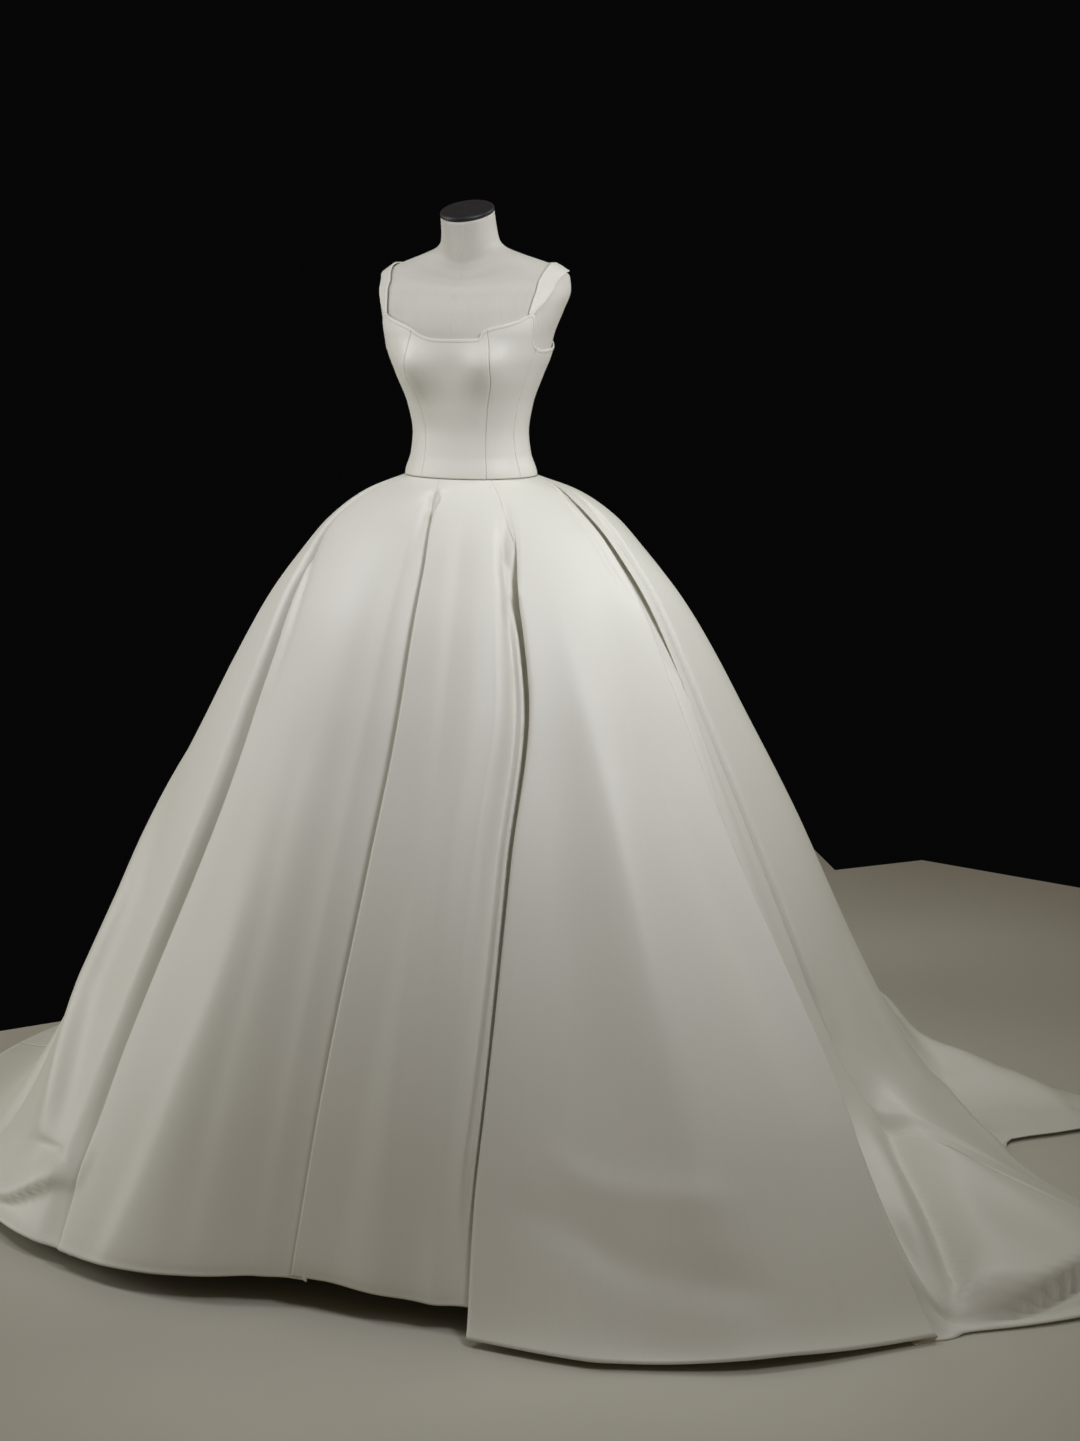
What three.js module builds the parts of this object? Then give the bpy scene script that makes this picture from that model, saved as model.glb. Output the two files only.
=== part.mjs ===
// Wedding dress on its limbless dress form. Millimetres, +Z up, the dress faces -Y,
// +X is the wearer's left. The floor is z = 0 and the stand's pole is the axis x = y = 0.
import * as THREE from "three";

// Driving sizes of the cloth.
const skirtWall = 2;
const bodiceWall = 1.8;
const bodiceClearance = 2.6;
const seamGap = 0.3;
const waistSeamHeight = 1208;
const skirtPanelSteps = 6;

// Driving sizes of the form and its stand.
const neckCapThickness = 9;
const poleRadius = 16;
const poleFoot = 30;
const baseRadius = 210;
const baseRim = 12;
const baseCrown = 26;

// The form, one row per ring: height at the side, how far the front and the back of the ring
// lie below it, half width, depth to the front and to the back, squareness, shift to the back.
const formRings = [
  { level: 870, frontDrop: 0, backDrop: 0, side: 150, front: 92, back: 100, square: 2, shift: 0 },
  { level: 905, frontDrop: 0, backDrop: 0, side: 171, front: 110, back: 124, square: 2.1, shift: 0 },
  { level: 960, frontDrop: 0, backDrop: 0, side: 178, front: 117, back: 133, square: 2.2, shift: 0 },
  { level: 1030, frontDrop: 0, backDrop: 0, side: 168, front: 114, back: 124, square: 2.2, shift: 0 },
  { level: 1100, frontDrop: 0, backDrop: 0, side: 138, front: 99, back: 103, square: 2.1, shift: 0 },
  { level: 1160, frontDrop: 0, backDrop: 0, side: 113, front: 85, back: 84, square: 2, shift: 0 },
  { level: 1192, frontDrop: 0, backDrop: 0, side: 108, front: 82, back: 78, square: 2, shift: 0 },
  { level: 1208, frontDrop: 0, backDrop: 0, side: 115, front: 89, back: 85, square: 2, shift: 0 },
  { level: 1245, frontDrop: 0, backDrop: 0, side: 104, front: 82, back: 77, square: 2, shift: 0 },
  { level: 1282, frontDrop: 0, backDrop: 0, side: 100, front: 79, back: 73, square: 2, shift: 0 },
  { level: 1330, frontDrop: 0, backDrop: 0, side: 107, front: 85, back: 75, square: 2.1, shift: 0 },
  { level: 1385, frontDrop: 0, backDrop: 0, side: 127, front: 95, back: 81, square: 2.25, shift: 0 },
  { level: 1417, frontDrop: 0, backDrop: 0, side: 140, front: 98, back: 86, square: 2.35, shift: 0 },
  { level: 1450, frontDrop: 0, backDrop: 0, side: 148, front: 96, back: 89, square: 2.5, shift: 0 },
  { level: 1490, frontDrop: 2, backDrop: 0, side: 163, front: 99, back: 78, square: 2.35, shift: 12 },
  { level: 1525, frontDrop: 9, backDrop: 2, side: 174, front: 97, back: 59, square: 2.15, shift: 26 },
  { level: 1548, frontDrop: 18, backDrop: 5, side: 171, front: 86, back: 49, square: 2, shift: 30 },
  { level: 1562, frontDrop: 23, backDrop: 8, side: 155, front: 78, back: 44, square: 2, shift: 29 },
  { level: 1574, frontDrop: 26, backDrop: 9, side: 124, front: 67, back: 43, square: 2, shift: 22 },
  { level: 1586, frontDrop: 27, backDrop: 6, side: 88, front: 56, back: 43, square: 2, shift: 15 },
  { level: 1598, frontDrop: 26, backDrop: 2, side: 60, front: 49, back: 43, square: 2, shift: 9 },
  { level: 1609, frontDrop: 22, backDrop: -2, side: 51, front: 47, back: 45, square: 2, shift: 4 },
  { level: 1630, frontDrop: 17, backDrop: -11, side: 47.5, front: 45.5, back: 45, square: 2, shift: -2 },
  { level: 1653, frontDrop: 16, backDrop: -16, side: 46, front: 44.5, back: 45, square: 2, shift: -8 },
];
const bustHeight = 1398;
const bustSpread = 76;
const bustFullness = 26;
const bodiceBustEase = 2;
const bustWidth = 40;
const bustTall = 44;

// The cuts of the bodice: seams between its panels, as directions at a few heights.
const princessSeam = [
  { level: 1200, angle: 37 },
  { level: 1285, angle: 39 },
  { level: 1335, angle: 40 },
  { level: 1375, angle: 43 },
  { level: 1425, angle: 40 },
  { level: 1480, angle: 34.5 },
];
const sideSeam = [
  { level: 1200, angle: 70 },
  { level: 1285, angle: 69 },
  { level: 1375, angle: 70 },
  { level: 1480, angle: 74 },
];
const backSeam = [
  { level: 1200, angle: 144 },
  { level: 1285, angle: 142 },
  { level: 1480, angle: 136 },
];
// The bodice's top edge, from the centre front round to the centre back.
const topEdge = [
  { angle: 0, level: 1445 },
  { angle: 20, level: 1445 },
  { angle: 31, level: 1446 },
  { angle: 34.5, level: 1457 },
  { angle: 43, level: 1465 },
  { angle: 51, level: 1470 },
  { angle: 58, level: 1477 },
  { angle: 64, level: 1487 },
  { angle: 66, level: 1476 },
  { angle: 68.5, level: 1446 },
  { angle: 72, level: 1433 },
  { angle: 80, level: 1427 },
  { angle: 97, level: 1429 },
  { angle: 112, level: 1440 },
  { angle: 120, level: 1452 },
  { angle: 126, level: 1467 },
  { angle: 131, level: 1458 },
  { angle: 142, level: 1442 },
  { angle: 180, level: 1436 },
];
// A shoulder strap: its inner and its outer edge, from the front join over to the back join.
const strapRows = [
  { inAngle: 61.8, inLevel: 1484.8, outAngle: 65, outLevel: 1484.8 },
  { inAngle: 63, inLevel: 1512, outAngle: 70.5, outLevel: 1507 },
  { inAngle: 66.5, inLevel: 1537, outAngle: 76.5, outLevel: 1535 },
  { inAngle: 73, inLevel: 1556, outAngle: 83, outLevel: 1549 },
  { inAngle: 86, inLevel: 1567, outAngle: 90, outLevel: 1553 },
  { inAngle: 99, inLevel: 1567, outAngle: 99, outLevel: 1553 },
  { inAngle: 112, inLevel: 1556, outAngle: 108, outLevel: 1547 },
  { inAngle: 120, inLevel: 1532, outAngle: 115, outLevel: 1528 },
  { inAngle: 125, inLevel: 1504, outAngle: 118.5, outLevel: 1502 },
  { inAngle: 128, inLevel: 1467.7, outAngle: 122.5, outLevel: 1466.5 },
];

// The skirt's dome, one row per level: share of the cloth's length, height and radius.
const domeRows = [
  { share: 0, height: 1206.6, radius: 121 },
  { share: 0.054, height: 1177, radius: 194 },
  { share: 0.11, height: 1130, radius: 256 },
  { share: 0.164, height: 1071, radius: 307 },
  { share: 0.228, height: 1000, radius: 360 },
  { share: 0.319, height: 887, radius: 425 },
  { share: 0.4, height: 784, radius: 478 },
  { share: 0.482, height: 680, radius: 532 },
  { share: 0.57, height: 568, radius: 587 },
  { share: 0.662, height: 448, radius: 642 },
  { share: 0.779, height: 293, radius: 707 },
  { share: 0.895, height: 140, radius: 767 },
  { share: 1, height: 0, radius: 826 },
];
const domeLength = 1430;
const floorFillet = 0.06;
const rightSideShare = 0.985;
const leftSideShare = 1.002;
// How far out the hem lies in each direction; the back is the train.
const hemRows = [
  { angle: -180, radius: 1680 },
  { angle: -172, radius: 1630 },
  { angle: -162, radius: 1480 },
  { angle: -146, radius: 1200 },
  { angle: -128, radius: 1040 },
  { angle: -108, radius: 990 },
  { angle: -86, radius: 1020 },
  { angle: -62, radius: 1010 },
  { angle: -45, radius: 950 },
  { angle: -28, radius: 908 },
  { angle: -14, radius: 864 },
  { angle: 1, radius: 795 },
  { angle: 12, radius: 805 },
  { angle: 21, radius: 850 },
  { angle: 36, radius: 955 },
  { angle: 50, radius: 1030 },
  { angle: 61, radius: 1100 },
  { angle: 72, radius: 1240 },
  { angle: 82, radius: 1340 },
  { angle: 92, radius: 1180 },
  { angle: 101, radius: 1060 },
  { angle: 109, radius: 1250 },
  { angle: 119, radius: 1090 },
  { angle: 132, radius: 950 },
  { angle: 145, radius: 1010 },
  { angle: 155, radius: 1170 },
  { angle: 165, radius: 1420 },
  { angle: 173, radius: 1610 },
];
// The pleats, one row each: the side its lip turns to, the direction of the lip at seven levels
// down the skirt, how far it laps over, how deep it is, the roll of its edge, the share of the
// cloth's length from which it opens out, and how far it takes up its neighbours.
const pleats = [
  { turn: 1, waist: -163, yoke: -159, hip: -157, thigh: -156, knee: -155, calf: -157, hem: -161,
    lap: 34, depth: 44, roll: 8, open: 0.55, reach: 62 },
  { turn: 1, waist: -136, yoke: -130, hip: -127, thigh: -125, knee: -123, calf: -124, hem: -130,
    lap: 34, depth: 44, roll: 8, open: 0.55, reach: 62 },
  { turn: 1, waist: -106, yoke: -95, hip: -89, thigh: -86, knee: -84, calf: -84, hem: -90,
    lap: 30, depth: 44, roll: 8, open: 0.55, reach: 62 },
  { turn: 1, waist: -78, yoke: -60, hip: -45, thigh: -35, knee: -31.5, calf: -31, hem: -27.5,
    lap: 34, depth: 40, roll: 8, open: 1, reach: 62 },
  { turn: 1, waist: -14, yoke: 4, hip: 6.5, thigh: 7.2, knee: 5, calf: 2.2, hem: 1,
    lap: 26, depth: 26, roll: 5, open: 1, reach: 62 },
  { turn: 1, waist: 42, yoke: 38, hip: 33, thigh: 34.8, knee: 28.3, calf: 23.5, hem: 20.6,
    lap: 28, depth: 46, roll: 7, open: 1, reach: 62 },
  { turn: -1, waist: 96, yoke: 80, hip: 74, thigh: 74, knee: 75.5, calf: 75, hem: 60,
    lap: 30, depth: 40, roll: 8, open: 0.7, reach: 22 },
  { turn: -1, waist: 113, yoke: 93, hip: 86, thigh: 82, knee: 81.5, calf: 84, hem: 83,
    lap: 24, depth: 30, roll: 6, open: 0.6, reach: 22 },
  { turn: -1, waist: 139, yoke: 131, hip: 128, thigh: 126, knee: 124, calf: 124, hem: 132,
    lap: 34, depth: 44, roll: 8, open: 0.55, reach: 62 },
  { turn: -1, waist: 164, yoke: 160, hip: 158, thigh: 157, knee: 156, calf: 158, hem: 161,
    lap: 34, depth: 44, roll: 8, open: 0.55, reach: 62 },
];
const levelShares = { waist: 0, yoke: 0.06, hip: 0.16, thigh: 0.3, knee: 0.5, calf: 0.75, hem: 1 };
const pleatWaistDepth = 9;
const pleatWaistRoll = 2;
const pleatWaistLap = 20;
const pleatOpenReach = 120;
// The way across one pleat: parts of its reach, lap, roll and depth, and its place once opened.
const pleatSteps = [
  { reach: -1, lap: 0, bend: 0, drop: 0, rise: 0, open: -1 },
  { reach: -0.6, lap: 0, bend: 0, drop: 0.5, rise: 0, open: -0.78 },
  { reach: -0.2, lap: 0, bend: 0, drop: 0.94, rise: 0, open: -0.56 },
  { reach: 0, lap: 1, bend: -1.1, drop: 1, rise: 0, open: -0.34 },
  { reach: 0, lap: 1, bend: 0, drop: 1, rise: 1, open: -0.12 },
  { reach: 0, lap: 1, bend: -1.1, drop: 1, rise: 2, open: 0.1 },
  { reach: 0, lap: 0, bend: 1.1, drop: 0, rise: -2, open: 0.32 },
  { reach: 0, lap: 0, bend: 0, drop: 0, rise: -1, open: 0.54 },
  { reach: 0, lap: 0, bend: 1.1, drop: 0, rise: 0, open: 0.77 },
  { reach: 1, lap: 0, bend: 0, drop: 0, rise: 0, open: 1 },
];
const seamStep = 4;
// The gores, from the centre back round by the wearer's right: height of the hem at both ends,
// and how far the middle of the gore stands out.
const gores = [
  { name: "skirt_back_right", from: 1, to: 1, belly: 6 },
  { name: "skirt_back_side_right", from: 1, to: 1, belly: 8 },
  { name: "skirt_side_right", from: 1, to: 4, belly: 9 },
  { name: "skirt_front_side_right", from: 6, to: 28, belly: 9 },
  { name: "skirt_front_right", from: 30, to: 46, belly: 8 },
  { name: "skirt_front_centre", from: 52, to: 42, belly: 8 },
  { name: "skirt_front_left", from: 12, to: 10, belly: 14 },
  { name: "skirt_side_front_left", from: 4, to: 1, belly: 4 },
  { name: "skirt_side_left", from: 1, to: 1, belly: 8 },
  { name: "skirt_back_side_left", from: 1, to: 1, belly: 8 },
  { name: "skirt_back_left", from: 1, to: 1, belly: 6 },
];
// Flutes of the train: a ridge that runs out from the skirt's side and lies down at its end.
const flutes = [
  { near: 100, far: 90, height: 70, wide: 9, start: 0.72 },
  { near: 128, far: 116, height: 42, wide: 7, start: 0.76 },
  { near: 152, far: 148, height: 55, wide: 7, start: 0.7 },
  { near: -96, far: -104, height: 60, wide: 9, start: 0.74 },
  { near: -128, far: -136, height: 55, wide: 8, start: 0.72 },
  { near: -166, far: -170, height: 45, wide: 6, start: 0.7 },
];
const levels = [0, 0.03, 0.07, 0.12, 0.18, 0.26, 0.36, 0.48, 0.6, 0.71, 0.8, 0.87, 0.93, 0.97, 1];

const degree = Math.PI / 180;
const mix = (a, b, t) => a + (b - a) * t;
const ease = (t) => {
  const s = Math.min(1, Math.max(0, t));
  return s * s * (3 - 2 * s);
};

// A smooth curve through the rows of a table that never swings past them.
function curve(rows, key, column) {
  const at = rows.map((row) => row[key]);
  const value = rows.map((row) => row[column]);
  const last = at.length - 1;
  const rate = at.slice(1).map((a, i) => (value[i + 1] - value[i]) / (a - at[i]));
  const slope = at.map((_, i) => {
    if (i === 0) return rate[0];
    if (i === last) return rate[last - 1];
    const product = rate[i - 1] * rate[i];
    return product > 0 ? (2 * product) / (rate[i - 1] + rate[i]) : 0;
  });
  return (x) => {
    const inside = Math.min(at[last], Math.max(at[0], x));
    let i = 0;
    while (i < last - 1 && inside > at[i + 1]) i += 1;
    const width = at[i + 1] - at[i];
    const t = (inside - at[i]) / width;
    const hold = (1 + 2 * t) * (1 - t) * (1 - t) * value[i] + t * t * (3 - 2 * t) * value[i + 1];
    return hold + width * (t * (1 - t) * (1 - t) * slope[i] - t * t * (1 - t) * slope[i + 1]);
  };
}

// A curve round the whole turn, its rows repeated before and after.
function roundCurve(rows, column) {
  const before = rows.map((row) => ({ ...row, angle: row.angle - 360 }));
  const after = rows.map((row) => ({ ...row, angle: row.angle + 360 }));
  return curve([...before, ...rows, ...after], "angle", column);
}

const formCurves = {};
for (const column of ["frontDrop", "backDrop", "side", "front", "back", "square", "shift"]) {
  formCurves[column] = curve(formRings, "level", column);
}

// A point of the form's skin at a ring and a direction, with the bust added to the front.
function formPoint(level, angle, extraBust = 0) {
  const s = Math.sin(angle * degree);
  const c = Math.cos(angle * degree);
  const depth = c > 0 ? formCurves.front(level) : formCurves.back(level);
  const square = formCurves.square(level);
  const across = Math.pow(Math.abs(s) / formCurves.side(level), square);
  const along = Math.pow(Math.abs(c) / depth, square);
  const radius = Math.pow(across + along, -1 / square);
  const drop = c > 0 ? formCurves.frontDrop(level) : formCurves.backDrop(level);
  const x = radius * s;
  const flat = ease((level - 1600) / 30);
  const z = level - drop * mix(c * c, Math.abs(c), flat);
  const sideways = (Math.abs(x) - bustSpread) / bustWidth;
  const upwards = (z - bustHeight) / (z > bustHeight ? bustTall * 0.8 : bustTall);
  const bust = (bustFullness + extraBust) * Math.exp(-sideways * sideways - upwards * upwards) * Math.max(0, c);
  return new THREE.Vector3(x, -radius * c - bust + formCurves.shift(level), z);
}

// The outward normal of the form's skin, from its neighbours.
function formNormal(level, angle) {
  const up = formPoint(level + 1, angle).sub(formPoint(level - 1, angle));
  const round = formPoint(level, angle + 0.5).sub(formPoint(level, angle - 0.5));
  return round.cross(up).normalize();
}

// A closed shell from two grids of points, the outer and the inner face of one sheet.
function shell(outer, inner) {
  const rows = outer.length;
  const columns = outer[0].length;
  const positions = [];
  for (const grid of [outer, inner]) {
    for (const row of grid) {
      for (const p of row) positions.push(p.x, p.y, p.z);
    }
  }
  const id = (face, row, column) => face * rows * columns + row * columns + column;
  const indices = [];
  const quad = (a, b, c, d) => indices.push(a, c, b, a, d, c);
  for (let i = 0; i + 1 < rows; i += 1) {
    for (let j = 0; j + 1 < columns; j += 1) {
      quad(id(0, i, j), id(0, i, j + 1), id(0, i + 1, j + 1), id(0, i + 1, j));
      quad(id(1, i, j), id(1, i + 1, j), id(1, i + 1, j + 1), id(1, i, j + 1));
    }
  }
  for (let j = 0; j + 1 < columns; j += 1) {
    quad(id(0, 0, j), id(1, 0, j), id(1, 0, j + 1), id(0, 0, j + 1));
    quad(id(0, rows - 1, j), id(0, rows - 1, j + 1), id(1, rows - 1, j + 1), id(1, rows - 1, j));
  }
  for (let i = 0; i + 1 < rows; i += 1) {
    quad(id(0, i, 0), id(0, i + 1, 0), id(1, i + 1, 0), id(1, i, 0));
    quad(id(0, i, columns - 1), id(1, i, columns - 1), id(1, i + 1, columns - 1), id(0, i + 1, columns - 1));
  }
  return solid(positions, indices);
}

function solid(positions, indices) {
  const geometry = new THREE.BufferGeometry();
  geometry.setAttribute("position", new THREE.Float32BufferAttribute(positions, 3));
  geometry.setIndex(indices);
  geometry.computeVertexNormals();
  return geometry;
}

// A closed body from a stack of rings, each end closed by a fan about its middle.
function stack(rings) {
  const count = rings[0].length;
  const positions = [];
  for (const ring of rings) {
    for (const p of ring) positions.push(p.x, p.y, p.z);
  }
  const indices = [];
  for (let i = 0; i + 1 < rings.length; i += 1) {
    for (let j = 0; j < count; j += 1) {
      const k = (j + 1) % count;
      const low = i * count;
      const high = low + count;
      indices.push(low + j, low + k, high + k, low + j, high + k, high + j);
    }
  }
  for (const [ring, flip] of [[0, true], [rings.length - 1, false]]) {
    const middle = new THREE.Vector3();
    for (const p of rings[ring]) middle.add(p);
    middle.divideScalar(count);
    const tip = positions.length / 3;
    positions.push(middle.x, middle.y, middle.z);
    for (let j = 0; j < count; j += 1) {
      const a = ring * count + j;
      const b = ring * count + ((j + 1) % count);
      indices.push(tip, flip ? b : a, flip ? a : b);
    }
  }
  return solid(positions, indices);
}

// The skirt.
const domeHeight = curve(domeRows, "share", "height");
const domeRadius = curve(domeRows, "share", "radius");
const hemRadius = roundCurve(hemRows, "radius");
const softPlus = (t, k) => (t > 30 * k ? t : k * Math.log1p(Math.exp(t / k)));

// How far round a pleat's lip is at a share of the cloth's length.
const pleatAngle = pleats.map((pleat) => {
  const rows = Object.entries(levelShares).map(([name, share]) => ({ share, angle: pleat[name] }));
  return curve(rows, "share", "angle");
});

// The waist ring in a direction: the bodice's outer face at the seam.
function waistRadius(angle) {
  const p = formPoint(waistSeamHeight, angle);
  return Math.hypot(p.x, p.y) + bodiceClearance + bodiceWall * 0.6;
}

// Radius and height of the skirt at a direction and a share of the cloth, before pleats.
function skirtProfile(angle, share) {
  const side = mix(rightSideShare, leftSideShare, 0.5 + 0.5 * Math.sin((angle - 20) * degree));
  const reach = hemRadius(angle);
  const floorRadius = domeRows[domeRows.length - 1].radius * side;
  const extra = Math.max(0, reach - floorRadius - 110) / domeLength;
  const along = share * (1 + extra);
  const beyond = Math.max(0, along - 1);
  const run = softPlus(along - 1, floorFillet) - softPlus(-1, floorFillet);
  const endRun = softPlus(extra, floorFillet) - softPlus(-1, floorFillet);
  const slope = 560;
  const level = Math.min(1, along);
  const bare = domeRadius(level) * side + beyond * slope + run * (domeLength - slope) * (extra > 0 ? 1 : 0);
  const bareEnd = floorRadius + extra * slope + endRun * (domeLength - slope) * (extra > 0 ? 1 : 0);
  const flare = (reach - bareEnd) * Math.pow(share, 6.5);
  const fall = domeHeight(level) - beyond * 1300;
  const height = softPlus(fall / 1000, 0.022) * 1000;
  const waistBlend = 1 - ease(share / 0.11);
  const radius = bare + flare + (waistRadius(angle) - domeRows[0].radius) * waistBlend;
  return { radius, height, end: softPlus(-extra * 1.3, 0.022) * 1000 };
}

// The height a flute adds near the floor.
function fluteLift(angle, share) {
  let lift = 0;
  for (const flute of flutes) {
    if (share <= flute.start) continue;
    const way = (share - flute.start) / (1 - flute.start);
    const middle = mix(flute.near, flute.far, way);
    const off = (angle - middle) / flute.wide;
    lift += flute.height * Math.sin(Math.PI * Math.pow(way, 0.8)) * Math.exp(-off * off);
  }
  return lift;
}

// A point of the skirt's middle face: direction, share of the cloth, offset out of the dome
// and height of the hem.
function skirtPoint(angle, share, offset, hemHeight) {
  const here = skirtProfile(angle, share);
  const a = skirtProfile(angle, Math.max(0, share - 0.01));
  const b = skirtProfile(angle, Math.min(1, share + 0.01));
  const run = b.radius - a.radius;
  const fall = a.height - b.height;
  const length = Math.hypot(run, fall) || 1;
  const out = fall / length;
  const up = (run / length) * (1 - ease((share - 0.8) / 0.2));
  const settle = Math.pow(share, 5) * (hemHeight - here.end);
  const radius = here.radius + offset * out - settle * Math.min(1.3, run / Math.max(1, fall));
  const height = here.height + settle + offset * up + fluteLift(angle, share);
  const s = Math.sin(angle * degree);
  const c = Math.cos(angle * degree);
  const shiftBack = formCurves.shift(waistSeamHeight) * (1 - ease(share / 0.11));
  return new THREE.Vector3(radius * s, -radius * c + shiftBack, Math.max(height, skirtWall / 2));
}

// Direction and offset of one step across a pleat at a share of the cloth.
function pleatPlace(index, step, share) {
  const pleat = pleats[index];
  const row = pleatSteps[step];
  const grow = ease(share / 0.22);
  const open = pleat.open < 1 ? ease((share - pleat.open) / (1 - pleat.open) / 0.9) : 0;
  const depth = mix(pleatWaistDepth, pleat.depth, grow);
  const roll = mix(pleatWaistRoll, pleat.roll, grow);
  const lap = mix(pleatWaistLap, pleat.lap, grow);
  const radius = skirtProfile(pleatAngle[index](share), share).radius;
  const reach = Math.min(pleat.reach, radius * (pleat.reach > 30 ? 0.13 : 0.09));
  const openReach = Math.min(pleatOpenReach, radius * 0.13);
  const folded = row.reach * reach + row.lap * lap + row.bend * roll;
  const across = mix(folded, row.open * openReach, open) * pleat.turn;
  const offset = (row.rise * roll - row.drop * depth) * (1 - open);
  return { angle: pleatAngle[index](share) + across / radius / degree, offset };
}

// The columns of the skirt all round, from the centre back by the wearer's right.
function skirtColumns() {
  const columns = [];
  const lastStep = pleatSteps.length - 1;
  for (let gore = 0; gore < gores.length; gore += 1) {
    const before = gore - 1;
    const after = gore;
    if (before >= 0) {
      for (let k = 0; k <= lastStep; k += 1) {
        const step = pleats[before].turn > 0 ? k : lastStep - k;
        const late = pleats[before].turn > 0 ? k > seamStep : k > lastStep - seamStep;
        const seam = step === seamStep;
        columns.push({ pleat: before, step, gore: late ? gore : before, seam });
      }
    }
    const start = gore === 0 ? 0 : 1;
    const end = gore === gores.length - 1 ? skirtPanelSteps : skirtPanelSteps - 1;
    for (let k = start; k <= end; k += 1) {
      const centreBack = (gore === 0 && k === 0) || (gore === gores.length - 1 && k === end);
      columns.push({ before, after, gore, share: k / skirtPanelSteps, seam: centreBack });
    }
  }
  return columns;
}

function columnPoint(column, share) {
  const gore = gores[column.gore];
  if (column.pleat !== undefined) {
    const place = pleatPlace(column.pleat, column.step, share);
    const ends = [gores[column.pleat].to, gores[column.pleat + 1].from];
    const [under, over] = pleats[column.pleat].turn > 0 ? ends : ends.reverse();
    const hem = mix(under, over, ease((column.step - seamStep) / 2));
    return skirtPoint(place.angle, share, place.offset, hem);
  }
  const lastStep = pleatSteps.length - 1;
  const first = column.before < 0 ? -180
    : pleatPlace(column.before, pleats[column.before].turn > 0 ? lastStep : 0, share).angle;
  const second = column.after >= pleats.length ? 180
    : pleatPlace(column.after, pleats[column.after].turn > 0 ? 0 : lastStep, share).angle;
  const angle = mix(first, second, column.share);
  const belly = gore.belly * Math.sin(Math.PI * column.share) * ease((share - 0.1) / 0.5);
  return skirtPoint(angle, share, belly, mix(gore.from, gore.to, column.share));
}

// Unit normals of a grid of points, from the neighbours of each; the grid closes on itself.
function gridNormals(grid) {
  const rows = grid.length;
  const columns = grid[0].length;
  return grid.map((row, i) => row.map((_, j) => {
    const left = row[(j + columns - 1) % columns];
    const right = row[(j + 1) % columns];
    const above = grid[Math.max(0, i - 1)][j];
    const below = grid[Math.min(rows - 1, i + 1)][j];
    const here = row[j];
    const first = here.clone().sub(left).normalize();
    const second = right.clone().sub(here).normalize();
    const round = first.add(second);
    return round.cross(above.clone().sub(below)).normalize();
  }));
}

const columns = skirtColumns();
const middleGrid = levels.map((share) => columns.map((column) => columnPoint(column, share)));
// The centre back closes on itself, so its last column is left out while normals are taken.
const closedGrid = middleGrid.map((row) => row.slice(0, -1));
const closedNormals = gridNormals(closedGrid);
const normals = closedNormals.map((row) => [...row, row[0].clone()]);

// One gore: its columns between two seams, drawn in by half the seam gap at each end.
function goreShell(start, end) {
  const outer = [];
  const inner = [];
  for (let i = 0; i < levels.length; i += 1) {
    const outerRow = [];
    const innerRow = [];
    for (let j = start; j <= end; j += 1) {
      const p = middleGrid[i][j].clone();
      if (j === start || j === end) {
        const inward = middleGrid[i][j === start ? j + 1 : j - 1].clone().sub(p).normalize();
        p.addScaledVector(inward, seamGap / 2 + 0.06);
      }
      const n = normals[i][j];
      const a = p.clone().addScaledVector(n, skirtWall / 2);
      const b = p.clone().addScaledVector(n, -skirtWall / 2);
      if (p.z < skirtWall * 0.75) {
        a.z = Math.max(a.z, 0);
        b.z = Math.max(b.z, 0);
      }
      outerRow.push(a);
      innerRow.push(b);
    }
    outer.push(outerRow);
    inner.push(innerRow);
  }
  return shell(outer, inner);
}

// The bodice: one panel between two seams, from the waist seam to the top edge.
const seamAngle = {
  front: () => 0,
  princess: curve(princessSeam, "level", "angle"),
  side: curve(sideSeam, "level", "angle"),
  back: curve(backSeam, "level", "angle"),
  centreBack: () => 180,
};
const edgeLevel = curve(topEdge, "angle", "level");

function bodicePanel(from, to, hand, across, up) {
  const grids = [bodiceClearance + bodiceWall, bodiceClearance].map((offset) => {
    const grid = [];
    for (let i = 0; i <= up; i += 1) {
      const row = [];
      for (let j = 0; j <= across; j += 1) {
        row.push(bodicePoint(from, to, hand, j / across, 1 - i / up, offset));
      }
      grid.push(hand > 0 ? row : row.reverse());
    }
    return grid;
  });
  return shell(grids[0], grids[1]);
}

// A point of a bodice panel: across it, up it, and out from the form's skin.
function bodicePoint(from, to, hand, across, up, offset) {
  const low = waistSeamHeight + seamGap;
  const guess = mix(seamAngle[from](1440), seamAngle[to](1440), across);
  const top = edgeLevel(guess);
  const level = mix(low, top, up);
  const gapAngle = ((seamGap / 2 + 0.04) / 100) / degree;
  const first = seamAngle[from](level) + (from === "front" ? 0 : gapAngle);
  const second = seamAngle[to](level) - gapAngle;
  const angle = mix(first, second, across);
  const p = formPoint(level, angle, bodiceBustEase);
  p.addScaledVector(formNormal(level, angle), offset);
  p.x *= hand;
  if (up === 0) p.z = low;
  return p;
}

// The centre front panel spans both princess seams.
function centreFrontPanel(across, up) {
  const grids = [bodiceClearance + bodiceWall, bodiceClearance].map((offset) => {
    const grid = [];
    for (let i = 0; i <= up; i += 1) {
      const row = [];
      for (let j = -across; j <= across; j += 1) {
        const hand = j < 0 ? -1 : 1;
        row.push(bodicePoint("front", "princess", hand, Math.abs(j) / across, 1 - i / up, offset));
      }
      grid.push(row);
    }
    return grid;
  });
  return shell(grids[0], grids[1]);
}

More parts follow.
